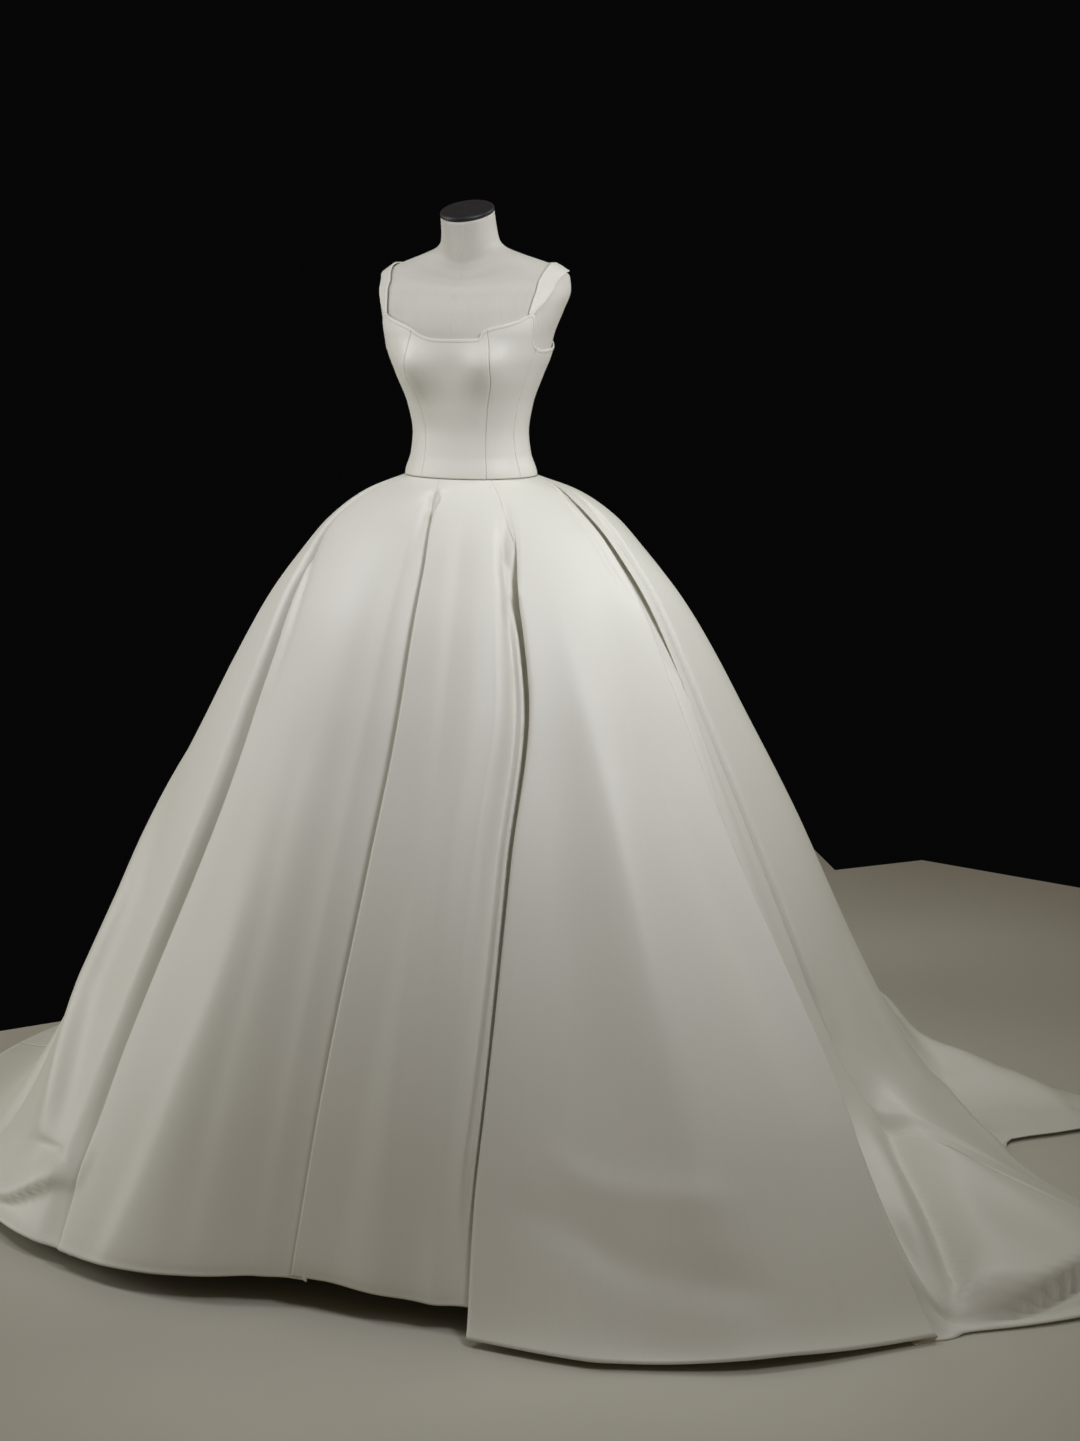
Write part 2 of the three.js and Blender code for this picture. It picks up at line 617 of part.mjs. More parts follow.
// A shoulder strap, a band on the form's shoulder.
function strap(hand, along, across) {
  const rows = strapRows.map((row, i) => ({ ...row, step: i / (strapRows.length - 1) }));
  const inAngle = curve(rows, "step", "inAngle");
  const inLevel = curve(rows, "step", "inLevel");
  const outAngle = curve(rows, "step", "outAngle");
  const outLevel = curve(rows, "step", "outLevel");
  const grids = [bodiceClearance + bodiceWall, bodiceClearance].map((offset) => {
    const grid = [];
    for (let i = 0; i <= along; i += 1) {
      const t = i / along;
      const row = [];
      for (let j = 0; j <= across; j += 1) {
        const level = mix(outLevel(t), inLevel(t), j / across);
        const angle = mix(outAngle(t), inAngle(t), j / across);
        const p = formPoint(level, angle);
        p.addScaledVector(formNormal(level, angle), offset);
        p.x *= hand;
        row.push(p);
      }
      grid.push(hand > 0 ? row : row.reverse());
    }
    return grid;
  });
  return shell(grids[0], grids[1]);
}

// The form's body and neck in one, closed below at the hips.
function formBody() {
  const own = formRings.map((row) => row.level);
  const between = own.slice(1).map((level, i) => (level + own[i]) / 2).filter((level) => level > 1200);
  const stops = [...own, ...between].sort((a, b) => a - b);
  const turns = [];
  for (let angle = -180; angle < 180; angle += angle >= -66 && angle < 66 ? 6 : 11.4) {
    turns.push(Math.round(angle * 10) / 10);
  }
  const ring = (level, inset) => turns.map((angle) => {
    const p = formPoint(level, angle);
    p.x *= inset;
    p.y *= inset;
    return p;
  });
  const foot = ring(own[0] - 6, 0.93);
  for (const p of foot) p.z = own[0] - 6;
  return stack([foot, ...stops.map((level) => ring(level, 1))]);
}

// The cap on the neck: the neck's top ring carried up along its tilt, with a rounded rim.
function neckCap(count) {
  const top = formRings[formRings.length - 1];
  const ring = (share, up) => {
    const points = [];
    const tilt = Math.atan2(top.frontDrop - top.backDrop, top.front + top.back);
    for (let j = 0; j < count; j += 1) {
      const p = formPoint(top.level, (j * 360) / count - 180);
      p.x *= share;
      p.y = top.shift + (p.y - top.shift) * share;
      p.z = mix(top.level, p.z, share);
      p.y -= Math.sin(tilt) * up;
      p.z += Math.cos(tilt) * up;
      points.push(p);
    }
    return points;
  };
  const rise = neckCapThickness;
  return stack([
    ring(0.985, seamGap), ring(1.01, seamGap + 1.5), ring(1.01, rise * 0.55),
    ring(0.97, rise * 0.85), ring(0.88, rise), ring(0.5, rise + 1),
  ]);
}

function lathe(profile, count) {
  const points = profile.map(([radius, height]) => new THREE.Vector2(radius, height));
  const geometry = new THREE.LatheGeometry(points, count);
  geometry.rotateX(Math.PI / 2);
  return geometry;
}

const group = new THREE.Group();
const satin = { color: 0xe9e7df, roughness: 0.42, metalness: 0 };
const linen = { color: 0xcfcabd, roughness: 0.9, metalness: 0 };
const capBlack = { color: 0x1c1c20, roughness: 0.5, metalness: 0 };
const steel = { color: 0x8d8f92, roughness: 0.35, metalness: 0.9 };

function add(name, geometry, look) {
  const mesh = new THREE.Mesh(geometry, new THREE.MeshStandardMaterial(look));
  mesh.name = name;
  group.add(mesh);
}

const seams = columns.map((column, i) => (column.seam ? i : -1)).filter((i) => i >= 0);
gores.forEach((gore, k) => add(gore.name, goreShell(seams[k], seams[k + 1]), satin));
add("bodice_centre_front", centreFrontPanel(6, 13), satin);
for (const [hand, side] of [[-1, "right"], [1, "left"]]) {
  add("bodice_side_front_" + side, bodicePanel("princess", "side", hand, 9, 13), satin);
  add("bodice_side_back_" + side, bodicePanel("side", "back", hand, 6, 9), satin);
  add("bodice_centre_back_" + side, bodicePanel("back", "centreBack", hand, 4, 7), satin);
  add("shoulder_strap_" + side, strap(hand, 18, 2), satin);
}
add("form_body", formBody(), linen);
add("form_neck_cap", neckCap(36), capBlack);
const bodyFoot = formRings[0].level - 6;
add("stand_pole", lathe([
  [0, poleFoot + seamGap], [poleRadius, poleFoot + seamGap],
  [poleRadius, bodyFoot - seamGap], [0, bodyFoot - seamGap],
], 28), steel);
add("stand_base", lathe([
  [0, 0], [baseRadius - 2, 0], [baseRadius, 2], [baseRadius, baseRim - 3],
  [baseRadius - 4, baseRim], [60, baseCrown - 4], [34, baseCrown],
  [30, poleFoot], [0, poleFoot],
], 48), steel);

export default group;
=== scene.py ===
import math
import bpy
import numpy as np
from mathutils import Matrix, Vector


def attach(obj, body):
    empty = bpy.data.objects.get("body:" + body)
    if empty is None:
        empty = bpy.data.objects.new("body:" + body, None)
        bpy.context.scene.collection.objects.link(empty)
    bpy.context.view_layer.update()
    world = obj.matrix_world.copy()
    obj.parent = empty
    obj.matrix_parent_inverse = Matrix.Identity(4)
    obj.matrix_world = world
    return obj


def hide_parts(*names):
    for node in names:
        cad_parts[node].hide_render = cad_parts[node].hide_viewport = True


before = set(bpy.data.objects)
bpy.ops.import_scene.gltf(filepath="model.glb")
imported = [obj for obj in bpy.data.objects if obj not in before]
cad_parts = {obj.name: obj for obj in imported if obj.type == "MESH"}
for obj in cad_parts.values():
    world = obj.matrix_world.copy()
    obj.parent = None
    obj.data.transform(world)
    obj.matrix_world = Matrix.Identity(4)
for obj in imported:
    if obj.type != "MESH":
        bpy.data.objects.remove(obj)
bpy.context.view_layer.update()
print("frame loaded:", len(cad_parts), "nodes")

# Wedding dress on its form. Shapes are worked out in millimetres, in the CAD frame:
# +Z up, the dress faces -Y, +X is the wearer's left. Meshes are written in metres.
degree = math.pi / 180

cameraPlace = {"turn": 20.0, "lens": 52.46, "down": 12.76, "at": (1.3775, -3.4308, 1.600)}


def makeCamera(place):
    # the camera looks back towards the dress, turned round it and tilted down
    data = bpy.data.cameras.new("camera")
    data.sensor_width = 36.0
    data.lens = place["lens"]
    data.clip_end = 60.0
    data.dof.use_dof = False
    camera = bpy.data.objects.new("camera", data)
    turn, down = place["turn"] * degree, place["down"] * degree
    level = math.cos(down)
    look = Vector((-math.sin(turn) * level, math.cos(turn) * level, -math.sin(down)))
    camera.location = place["at"]
    camera.rotation_euler = look.to_track_quat("-Z", "Y").to_euler()
    bpy.context.scene.collection.objects.link(camera)
    bpy.context.scene.camera = camera


makeCamera(cameraPlace)

lights = {
    "left": {"at": (-3.6, -0.8, 1.05), "aim": (0.0, 0.0, 0.45), "size": (1.6, 1.4), "power": 12.8,
             "spread": 110.0, "colour": (0.98, 1.0, 0.97)},
    "top": {"at": (0.35, -0.9, 3.0), "aim": (0.1, -0.1, 1.2), "size": (1.0, 1.0), "power": 5.5,
            "colour": (0.90, 1.0, 0.96)},
    "nearRight": {"at": (1.35, -1.0, 2.15), "aim": (0.2, -0.1, 1.15), "size": (0.5, 0.5),
                  "power": 6.7, "spread": 105.0, "colour": (0.92, 0.93, 1.02)},
    "nearLeft": {"at": (-1.3, -0.7, 2.2), "aim": (-0.2, -0.1, 1.05), "size": (0.5, 0.5),
                 "power": 4.8, "spread": 115.0, "colour": (0.92, 0.93, 1.02)},
    "nearBack": {"at": (1.3, 0.9, 2.2), "aim": (0.3, 0.1, 0.95), "size": (0.5, 0.5),
                 "power": 4.4, "spread": 120.0, "colour": (0.95, 1.0, 0.97)},
}
roomFill = {"colour": (1.0, 0.78, 0.48), "strength": 0.09, "seen": (0.002, 0.002, 0.002)}


def makeLight(name, values):
    # a soft rectangle of light aimed at a point
    data = bpy.data.lights.new(name, "AREA")
    data.shape = "RECTANGLE"
    data.size, data.size_y = values["size"]
    data.energy = values["power"]
    data.spread = values.get("spread", 180.0) * degree
    data.color = values["colour"]
    light = bpy.data.objects.new(name, data)
    light.location = values["at"]
    aim = Vector(values["aim"]) - Vector(values["at"])
    light.rotation_euler = aim.to_track_quat("-Z", "Y").to_euler()
    light.visible_camera = False
    bpy.context.scene.collection.objects.link(light)


for lightName, lightValues in lights.items():
    makeLight(lightName, lightValues)

world = bpy.data.worlds.new("room")
world.use_nodes = True
bpy.context.scene.world = world
worldNodes = world.node_tree.nodes
worldNodes["Background"].inputs["Color"].default_value = (*roomFill["colour"], 1.0)
worldNodes["Background"].inputs["Strength"].default_value = roomFill["strength"]
darkRoom = worldNodes.new("ShaderNodeBackground")
darkRoom.inputs["Color"].default_value = (*roomFill["seen"], 1.0)
seen = worldNodes.new("ShaderNodeLightPath")
chooser = worldNodes.new("ShaderNodeMixShader")
world.node_tree.links.new(seen.outputs["Is Camera Ray"], chooser.inputs["Fac"])
world.node_tree.links.new(worldNodes["Background"].outputs[0], chooser.inputs[1])
world.node_tree.links.new(darkRoom.outputs[0], chooser.inputs[2])
world.node_tree.links.new(chooser.outputs[0], worldNodes["World Output"].inputs["Surface"])
bpy.context.scene.view_settings.view_transform = "Standard"
print("camera and lights made")


# shared shape helpers

def tableOf(names, rows):
    # a table with named columns as one array per column
    values = np.array(rows, float)
    return {name: values[:, i] for i, name in enumerate(names.split())}


def curveOf(table, key, column):
    # monotone cubic through the rows of a table: it never swings past them
    at, value = table[key], table[column]
    rate = np.diff(value) / np.diff(at)
    slope = np.concatenate([rate[:1], np.zeros(len(at) - 2), rate[-1:]])
    product = rate[:-1] * rate[1:]
    total = np.where(product > 0, rate[:-1] + rate[1:], 1.0)
    slope[1:-1] = np.where(product > 0, 2 * product / total, 0.0)

    def read(x):
        # the cubic of the stretch that x falls in, held at the table's ends
        inside = np.clip(x, at[0], at[-1])
        i = np.clip(np.searchsorted(at, inside, side="left") - 1, 0, len(at) - 2)
        width = at[i + 1] - at[i]
        t = (inside - at[i]) / width
        hold = (1 + 2 * t) * (1 - t) ** 2 * value[i] + t * t * (3 - 2 * t) * value[i + 1]
        return hold + width * (t * (1 - t) ** 2 * slope[i] - t * t * (1 - t) * slope[i + 1])

    return read


def roundCurveOf(table, column):
    # the same, round a whole turn of angles
    wide = {name: np.concatenate([value, value, value]) for name, value in table.items()}
    count = len(table["angle"])
    wide["angle"] = wide["angle"] + np.repeat([-360.0, 0.0, 360.0], count)
    return curveOf(wide, "angle", column)


def mix(a, b, t):
    # a at nought, b at one, and a straight line between
    return a + (b - a) * t


def ease(t):
    # a smooth step from nought to one: three t squared less two t cubed
    s = np.clip(t, 0, 1)
    return s * s * (3 - 2 * s)


def softPlus(t, k):
    # zero below, a straight rise above, rounded over k
    t = np.asarray(t, float)
    return np.where(t > 30 * k, t, k * np.log1p(np.exp(np.minimum(t / k, 30))))


def bump(t):
    # a bell: 1 at nought, falling off on both sides
    return np.exp(-t * t)


# mesh helpers

def gridNormals(grid):
    # the cross product of the two directions across a grid of points
    across = np.gradient(grid, axis=1)
    down = np.gradient(grid, axis=0)
    normal = np.cross(across, -down)
    length = np.linalg.norm(normal, axis=2, keepdims=True)
    return normal / np.maximum(length, 1e-9)


def shellOf(name, outer, inner, uv, material):
    # a closed sheet: an outer and an inner grid, joined round their edges
    rows, columns = outer.shape[:2]
    count = rows * columns
    points = np.concatenate([outer.reshape(-1, 3), inner.reshape(-1, 3)]) * 0.001
    i, j = np.meshgrid(np.arange(rows - 1), np.arange(columns - 1), indexing="ij")
    a = (i * columns + j).ravel()
    front = np.stack([a, a + columns, a + columns + 1, a + 1], axis=1)
    back = front[:, ::-1] + count
    top = np.arange(columns - 1)
    low = (rows - 1) * columns + top
    side = np.arange(rows - 1) * columns
    far = side + columns - 1
    rims = [
        np.stack([top, top + 1, top + 1 + count, top + count], axis=1),
        np.stack([low, low + count, low + 1 + count, low + 1], axis=1),
        np.stack([side, side + count, side + columns + count, side + columns], axis=1),
        np.stack([far, far + columns, far + columns + count, far + count], axis=1),
    ]
    faces = np.concatenate([front, back] + rims)
    return meshOf(name, points, faces, np.concatenate([uv.reshape(-1, 2)] * 2), material)


def meshOf(name, points, faces, uv, material):
    # points, four-sided faces and a place on the cloth for each point
    mesh = bpy.data.meshes.new(name)
    mesh.vertices.add(len(points))
    mesh.vertices.foreach_set("co", points.astype(np.float32).ravel())
    mesh.loops.add(faces.size)
    mesh.loops.foreach_set("vertex_index", faces.astype(np.int32).ravel())
    mesh.polygons.add(len(faces))
    sides = faces.shape[1]
    mesh.polygons.foreach_set("loop_start", np.arange(0, faces.size, sides, dtype=np.int32))
    mesh.polygons.foreach_set("loop_total", np.full(len(faces), sides, np.int32))
    mesh.update(calc_edges=True)
    mesh.validate(clean_customdata=False)
    layer = mesh.uv_layers.new(name="cloth")
    layer.data.foreach_set("uv", uv[faces.ravel()].astype(np.float32).ravel())
    mesh.polygons.foreach_set("use_smooth", np.full(len(faces), True))
    mesh.materials.append(material)
    piece = bpy.data.objects.new(name, mesh)
    bpy.context.scene.collection.objects.link(piece)
    return piece


def arcLength(points, axis):
    # running length along one direction of a grid, in millimetres
    step = np.linalg.norm(np.diff(points, axis=axis), axis=2)
    pad = [(0, 0), (0, 0)]
    pad[axis] = (1, 0)
    return np.cumsum(np.pad(step, pad), axis=axis)


def clothPlace(grid):
    # each point's running lengths across and down its own grid, in metres
    return np.stack([arcLength(grid, 1), arcLength(grid, 0)], axis=-1) / 1000


def standFor(piece, node):
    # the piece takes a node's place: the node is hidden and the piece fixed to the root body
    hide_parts(node)
    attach(piece, "root")


# materials

def newMaterial(name):
    # a new material with its nodes and links
    material = bpy.data.materials.new(name)
    material.use_nodes = True
    return material, material.node_tree.nodes, material.node_tree.links


def makeWeaveGroup():
    # two crossed sets of fine threads with slubs along one of them: a height and a mask
    group = bpy.data.node_groups.new("woven threads", "ShaderNodeTree")
    face = group.interface
    face.new_socket(name="Vector", in_out="INPUT", socket_type="NodeSocketVector")
    for label, value in (("Across", 900.0), ("Down", 900.0), ("Slub", 0.5)):
        socket = face.new_socket(name=label, in_out="INPUT", socket_type="NodeSocketFloat")
        socket.default_value = value
    face.new_socket(name="Height", in_out="OUTPUT", socket_type="NodeSocketFloat")
    face.new_socket(name="Streak", in_out="OUTPUT", socket_type="NodeSocketFloat")
    nodes, links = group.nodes, group.links
    inside, outside = nodes.new("NodeGroupInput"), nodes.new("NodeGroupOutput")
    split = nodes.new("ShaderNodeSeparateXYZ")
    links.new(inside.outputs["Vector"], split.inputs[0])

    def math2(kind, a, b):
        # one sum of two sockets or numbers
        node = nodes.new("ShaderNodeMath")
        node.operation = kind
        for slotNumber, source in enumerate((a, b)):
            if source is None:
                continue
            if isinstance(source, (int, float)):
                node.inputs[slotNumber].default_value = source
            else:
                links.new(source, node.inputs[slotNumber])
        return node.outputs[0]

    warp = math2("SINE", math2("MULTIPLY", split.outputs["X"], inside.outputs["Across"]), None)
    weft = math2("SINE", math2("MULTIPLY", split.outputs["Y"], inside.outputs["Down"]), None)
    stretch = nodes.new("ShaderNodeMapping")
    stretch.inputs["Scale"].default_value = (260.0, 7.0, 1.0)
    links.new(inside.outputs["Vector"], stretch.inputs["Vector"])
    slubs = nodes.new("ShaderNodeTexNoise")
    slubs.inputs["Scale"].default_value = 1.0
    slubs.inputs["Detail"].default_value = 3.0
    links.new(stretch.outputs[0], slubs.inputs["Vector"])
    threads = math2("ADD", math2("MULTIPLY", warp, 0.5), math2("MULTIPLY", weft, 0.35))
    slubHeight = math2("MULTIPLY", slubs.outputs["Fac"], inside.outputs["Slub"])
    links.new(math2("ADD", threads, slubHeight), outside.inputs["Height"])
    links.new(slubs.outputs["Fac"], outside.inputs["Streak"])
    return group


weaveGroup = makeWeaveGroup()


def makeCloth(name, values):
    # woven cloth: its colour drifts slowly and along the threads, its height is the weave
    material, nodes, links = newMaterial(name)
    shader = nodes["Principled BSDF"]
    coordinate = nodes.new("ShaderNodeUVMap")
    coordinate.uv_map = "cloth"
    weave = nodes.new("ShaderNodeGroup")
    weave.node_tree = weaveGroup
    weave.inputs["Across"].default_value = values["across"]
    weave.inputs["Down"].default_value = values["down"]
    weave.inputs["Slub"].default_value = values["slub"]
    links.new(coordinate.outputs[0], weave.inputs["Vector"])
    place = nodes.new("ShaderNodeTexCoord")
    drift = nodes.new("ShaderNodeTexNoise")
    drift.inputs["Scale"].default_value = values["drift"]
    drift.inputs["Detail"].default_value = 2.0
    links.new(place.outputs["Object"], drift.inputs["Vector"])
    ramp = nodes.new("ShaderNodeMix")
    ramp.data_type = "RGBA"
    ramp.inputs[6].default_value = (*values["dark"], 1.0)
    ramp.inputs[7].default_value = (*values["light"], 1.0)
    blendStreak = nodes.new("ShaderNodeMath")
    blendStreak.operation = "MULTIPLY_ADD"
    blendStreak.inputs[1].default_value = values["streak"]
    links.new(weave.outputs["Streak"], blendStreak.inputs[0])
    links.new(drift.outputs["Fac"], blendStreak.inputs[2])
    blendStreak.use_clamp = True
    links.new(blendStreak.outputs[0], ramp.inputs[0])
    links.new(ramp.outputs[2], shader.inputs["Base Color"])
    rough = nodes.new("ShaderNodeMapRange")
    rough.inputs["To Min"].default_value = values["rough"] - values["roughSpread"]
    rough.inputs["To Max"].default_value = values["rough"] + values["roughSpread"]
    links.new(weave.outputs["Streak"], rough.inputs["Value"])
    links.new(rough.outputs[0], shader.inputs["Roughness"])
    relief = nodes.new("ShaderNodeBump")
    relief.inputs["Strength"].default_value = values["relief"]
    relief.inputs["Distance"].default_value = 0.0004
    links.new(weave.outputs["Height"], relief.inputs["Height"])
    links.new(relief.outputs[0], shader.inputs["Normal"])
    shader.inputs["Sheen Weight"].default_value = values["sheen"]
    shader.inputs["Sheen Roughness"].default_value = 0.45
    shader.inputs["Specular IOR Level"].default_value = values["shine"]
    return material


satin = makeCloth("satin", {
    "light": (0.80, 0.785, 0.705), "dark": (0.73, 0.712, 0.63), "drift": 2.3, "streak": 0.35,
    "across": 5200.0, "down": 5200.0, "slub": 1.6, "rough": 0.48, "roughSpread": 0.05,
    "relief": 0.14, "sheen": 0.12, "shine": 0.55,
})
linen = makeCloth("linen", {
    "light": (0.725, 0.70, 0.63), "dark": (0.625, 0.60, 0.525), "drift": 6.0, "streak": 0.5,
    "across": 3800.0, "down": 3800.0, "slub": 2.0, "rough": 0.85, "roughSpread": 0.05,
    "relief": 0.45, "sheen": 0.15, "shine": 0.25,
})


def makeHard(name, values):
    # paint or metal with a fine grain and slow changes of roughness
    material, nodes, links = newMaterial(name)
    shader = nodes["Principled BSDF"]
    shader.inputs["Metallic"].default_value = values["metal"]
    place = nodes.new("ShaderNodeTexCoord")
    grain = nodes.new("ShaderNodeTexNoise")
    grain.inputs["Scale"].default_value = values["grain"]
    grain.inputs["Detail"].default_value = 4.0
    links.new(place.outputs["Object"], grain.inputs["Vector"])
    tint = nodes.new("ShaderNodeMix")
    tint.data_type = "RGBA"
    tint.inputs[6].default_value = (*values["dark"], 1.0)
    tint.inputs[7].default_value = (*values["light"], 1.0)
    links.new(grain.outputs["Fac"], tint.inputs[0])
    links.new(tint.outputs[2], shader.inputs["Base Color"])
    rough = nodes.new("ShaderNodeMapRange")
    rough.inputs["To Min"].default_value = values["rough"] - 0.08
    rough.inputs["To Max"].default_value = values["rough"] + 0.08
    links.new(grain.outputs["Fac"], rough.inputs["Value"])
    links.new(rough.outputs[0], shader.inputs["Roughness"])
    relief = nodes.new("ShaderNodeBump")
    relief.inputs["Strength"].default_value = values["relief"]
    relief.inputs["Distance"].default_value = 0.0005
    links.new(grain.outputs["Fac"], relief.inputs["Height"])
    links.new(relief.outputs[0], shader.inputs["Normal"])
    return material


capPaint = makeHard("neck cap paint", {
    "light": (0.022, 0.022, 0.027), "dark": (0.012, 0.012, 0.016), "grain": 60.0,
    "rough": 0.48, "metal": 0.0, "relief": 0.15,
})
steel = makeHard("brushed steel", {
    "light": (0.52, 0.53, 0.54), "dark": (0.40, 0.41, 0.42), "grain": 180.0,
    "rough": 0.36, "metal": 0.9, "relief": 0.1,
})
stageFloor = makeHard("stage floor", {
    "light": (0.66, 0.63, 0.54), "dark": (0.54, 0.515, 0.435), "grain": 1.6,
    "rough": 0.5, "metal": 0.0, "relief": 0.0,
})
print("materials made")

# the form

formRings = tableOf("level frontDrop backDrop side front back square shift", [
    (870, 0, 0, 150, 92, 100, 2, 0),
    (905, 0, 0, 171, 110, 124, 2.1, 0),
    (960, 0, 0, 178, 117, 133, 2.2, 0),
    (1030, 0, 0, 168, 114, 124, 2.2, 0),
    (1100, 0, 0, 138, 99, 103, 2.1, 0),
    (1160, 0, 0, 113, 85, 84, 2, 0),
    (1192, 0, 0, 108, 82, 78, 2, 0),
    (1208, 0, 0, 115, 89, 85, 2, 0),
    (1245, 0, 0, 104, 82, 77, 2, 0),
    (1282, 0, 0, 100, 79, 73, 2, 0),
    (1330, 0, 0, 107, 85, 75, 2.1, 0),
    (1385, 0, 0, 127, 95, 81, 2.25, 0),
    (1417, 0, 0, 140, 98, 86, 2.35, 0),
    (1450, 0, 0, 148, 96, 89, 2.5, 0),
    (1490, 2, 0, 163, 99, 78, 2.35, 12),
    (1525, 9, 2, 174, 97, 59, 2.15, 26),
    (1548, 18, 5, 171, 86, 49, 2, 30),
    (1562, 23, 8, 155, 78, 44, 2, 29),
    (1574, 26, 9, 124, 67, 43, 2, 22),
    (1586, 27, 6, 88, 56, 43, 2, 15),
    (1598, 26, 2, 60, 49, 43, 2, 9),
    (1609, 22, -2, 51, 47, 45, 2, 4),
    (1630, 17, -11, 47.5, 45.5, 45, 2, -2),
    (1653, 16, -16, 46, 44.5, 45, 2, -8),
])
formCurves = {name: curveOf(formRings, "level", name) for name in formRings if name != "level"}
bust = {"height": 1398, "spread": 76, "fullness": 26, "ease": 2.0, "width": 40, "tall": 44,
        "above": 0.8}
neckFlat = {"from": 1600, "over": 30}
tubeEnds = {"shares": (0.001, 0.34, 0.67), "weld": 0.00002}


def formPoint(level, angle, extraBust=0.0):
    # a squared ellipse at each level, its front and back dropped, with two soft bells for the bust
    s, c = np.sin(angle * degree), np.cos(angle * degree)
    s, c, level = np.broadcast_arrays(s, c, level)
    depth = np.where(c > 0, formCurves["front"](level), formCurves["back"](level))
    square = formCurves["square"](level)
    across = (np.abs(s) / formCurves["side"](level)) ** square
    along = (np.abs(c) / depth) ** square
    radius = (across + along) ** (-1 / square)
    drop = np.where(c > 0, formCurves["frontDrop"](level), formCurves["backDrop"](level))
    x = radius * s
    flat = ease((level - neckFlat["from"]) / neckFlat["over"])
    z = level - drop * mix(c * c, np.abs(c), flat)
    sideways = (np.abs(x) - bust["spread"]) / bust["width"]
    tall = np.where(z > bust["height"], bust["tall"] * bust["above"], bust["tall"])
    upwards = (z - bust["height"]) / tall
    swell = (bust["fullness"] + extraBust) * np.exp(-sideways ** 2 - upwards ** 2) * np.maximum(0, c)
    return np.stack([x, -radius * c - swell + formCurves["shift"](level), z], axis=-1)


def formNormal(level, angle):
    # the way out of the form: the turn crossed with the rise, brought to length one
    up = formPoint(level + 1, angle) - formPoint(level - 1, angle)
    turn = formPoint(level, angle + 0.5) - formPoint(level, angle - 0.5)
    normal = np.cross(turn, up)
    return normal / np.linalg.norm(normal, axis=-1, keepdims=True)


def closedTube(name, rings, material):
    # rings of points joined one to the next, with each end closed to its middle
    ends = [rings[0].mean(axis=0), rings[-1].mean(axis=0)]
    caps = [np.stack([mix(end[None], ring, share) for share in tubeEnds["shares"]])
            for end, ring in zip(ends, (rings[0], rings[-1]))]
    grid = np.concatenate([caps[0], rings, caps[1][::-1]])
    grid = np.concatenate([grid, grid[:, :1]], axis=1)
    rows, count = grid.shape[:2]
    i, j = np.meshgrid(np.arange(rows - 1), np.arange(count - 1), indexing="ij")
    a = (i * count + j).ravel()
    faces = np.stack([a, a + 1, a + count + 1, a + count], axis=1)
    uv = clothPlace(grid)
    piece = meshOf(name, grid.reshape(-1, 3) * 0.001, faces, uv.reshape(-1, 2), material)
    weld = piece.modifiers.new("weld", "WELD")
    weld.merge_threshold = tubeEnds["weld"]
    return piece


formSizes = {"rings": 190, "turns": 192, "seamDepth": 0.7, "seamWidth": 1.6, "seamFrom": 1180,
             "seamFade": 30, "footShare": 0.93, "footDrop": 6.0}


def makeForm(sizes):
    # the form's skin, finely ringed, with a shallow seam down the front and the back
    own = formRings["level"]
    levels = np.sort(np.concatenate([own, np.linspace(own[0], own[-1], sizes["rings"])]))
    angles = np.arange(sizes["turns"]) * 360.0 / sizes["turns"] - 180
    level, angle = np.meshgrid(levels, angles, indexing="ij")
    points = formPoint(level, angle)
    off = np.abs(points[..., 0]) / sizes["seamWidth"]
    seam = bump(off) * ease((level - sizes["seamFrom"]) / sizes["seamFade"])
    points = points - formNormal(level, angle) * (seam * sizes["seamDepth"])[..., None]
    footShare = np.array([sizes["footShare"], sizes["footShare"], 1.0])
    foot = points[0] * footShare - np.array([0, 0, sizes["footDrop"]])
    return closedTube("form_body_linen", np.concatenate([foot[None], points]), linen)


formBody = makeForm(formSizes)
standFor(formBody, "form_body")

capSizes = {"thickness": 9.0, "gap": 0.3, "turns": 96}


def makeCap(sizes):
    # the neck's top ring carried up along its tilt, its rim rounded
    top = {name: formRings[name][-1] for name in formRings}
    tilt = math.atan2(top["frontDrop"] - top["backDrop"], top["front"] + top["back"])
    angles = np.arange(sizes["turns"]) * 360.0 / sizes["turns"] - 180
    base = formPoint(np.full(sizes["turns"], top["level"]), angles)
    rise = sizes["thickness"]
    steps = [(0.985, sizes["gap"]), (1.004, sizes["gap"] + 0.7), (1.01, sizes["gap"] + 1.8),
             (1.01, rise * 0.52), (1.004, rise * 0.66), (0.985, rise * 0.80), (0.95, rise * 0.92),
             (0.90, rise * 0.99), (0.70, rise + 0.5), (0.5, rise + 0.9)]
    rings = []
    for share, up in steps:
        ring = base * np.array([share, 1.0, 1.0])
        ring[:, 1] = top["shift"] + (base[:, 1] - top["shift"]) * share - math.sin(tilt) * up
        ring[:, 2] = mix(top["level"], base[:, 2], share) + math.cos(tilt) * up
        rings.append(ring)
    return closedTube("neck_cap_paint", np.stack(rings), capPaint)


neckCap = makeCap(capSizes)
standFor(neckCap, "form_neck_cap")
for nodeName in ("stand_pole", "stand_base"):
    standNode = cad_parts[nodeName]
    standNode.data.materials.clear()
    standNode.data.materials.append(steel)
print("form made")

# the skirt

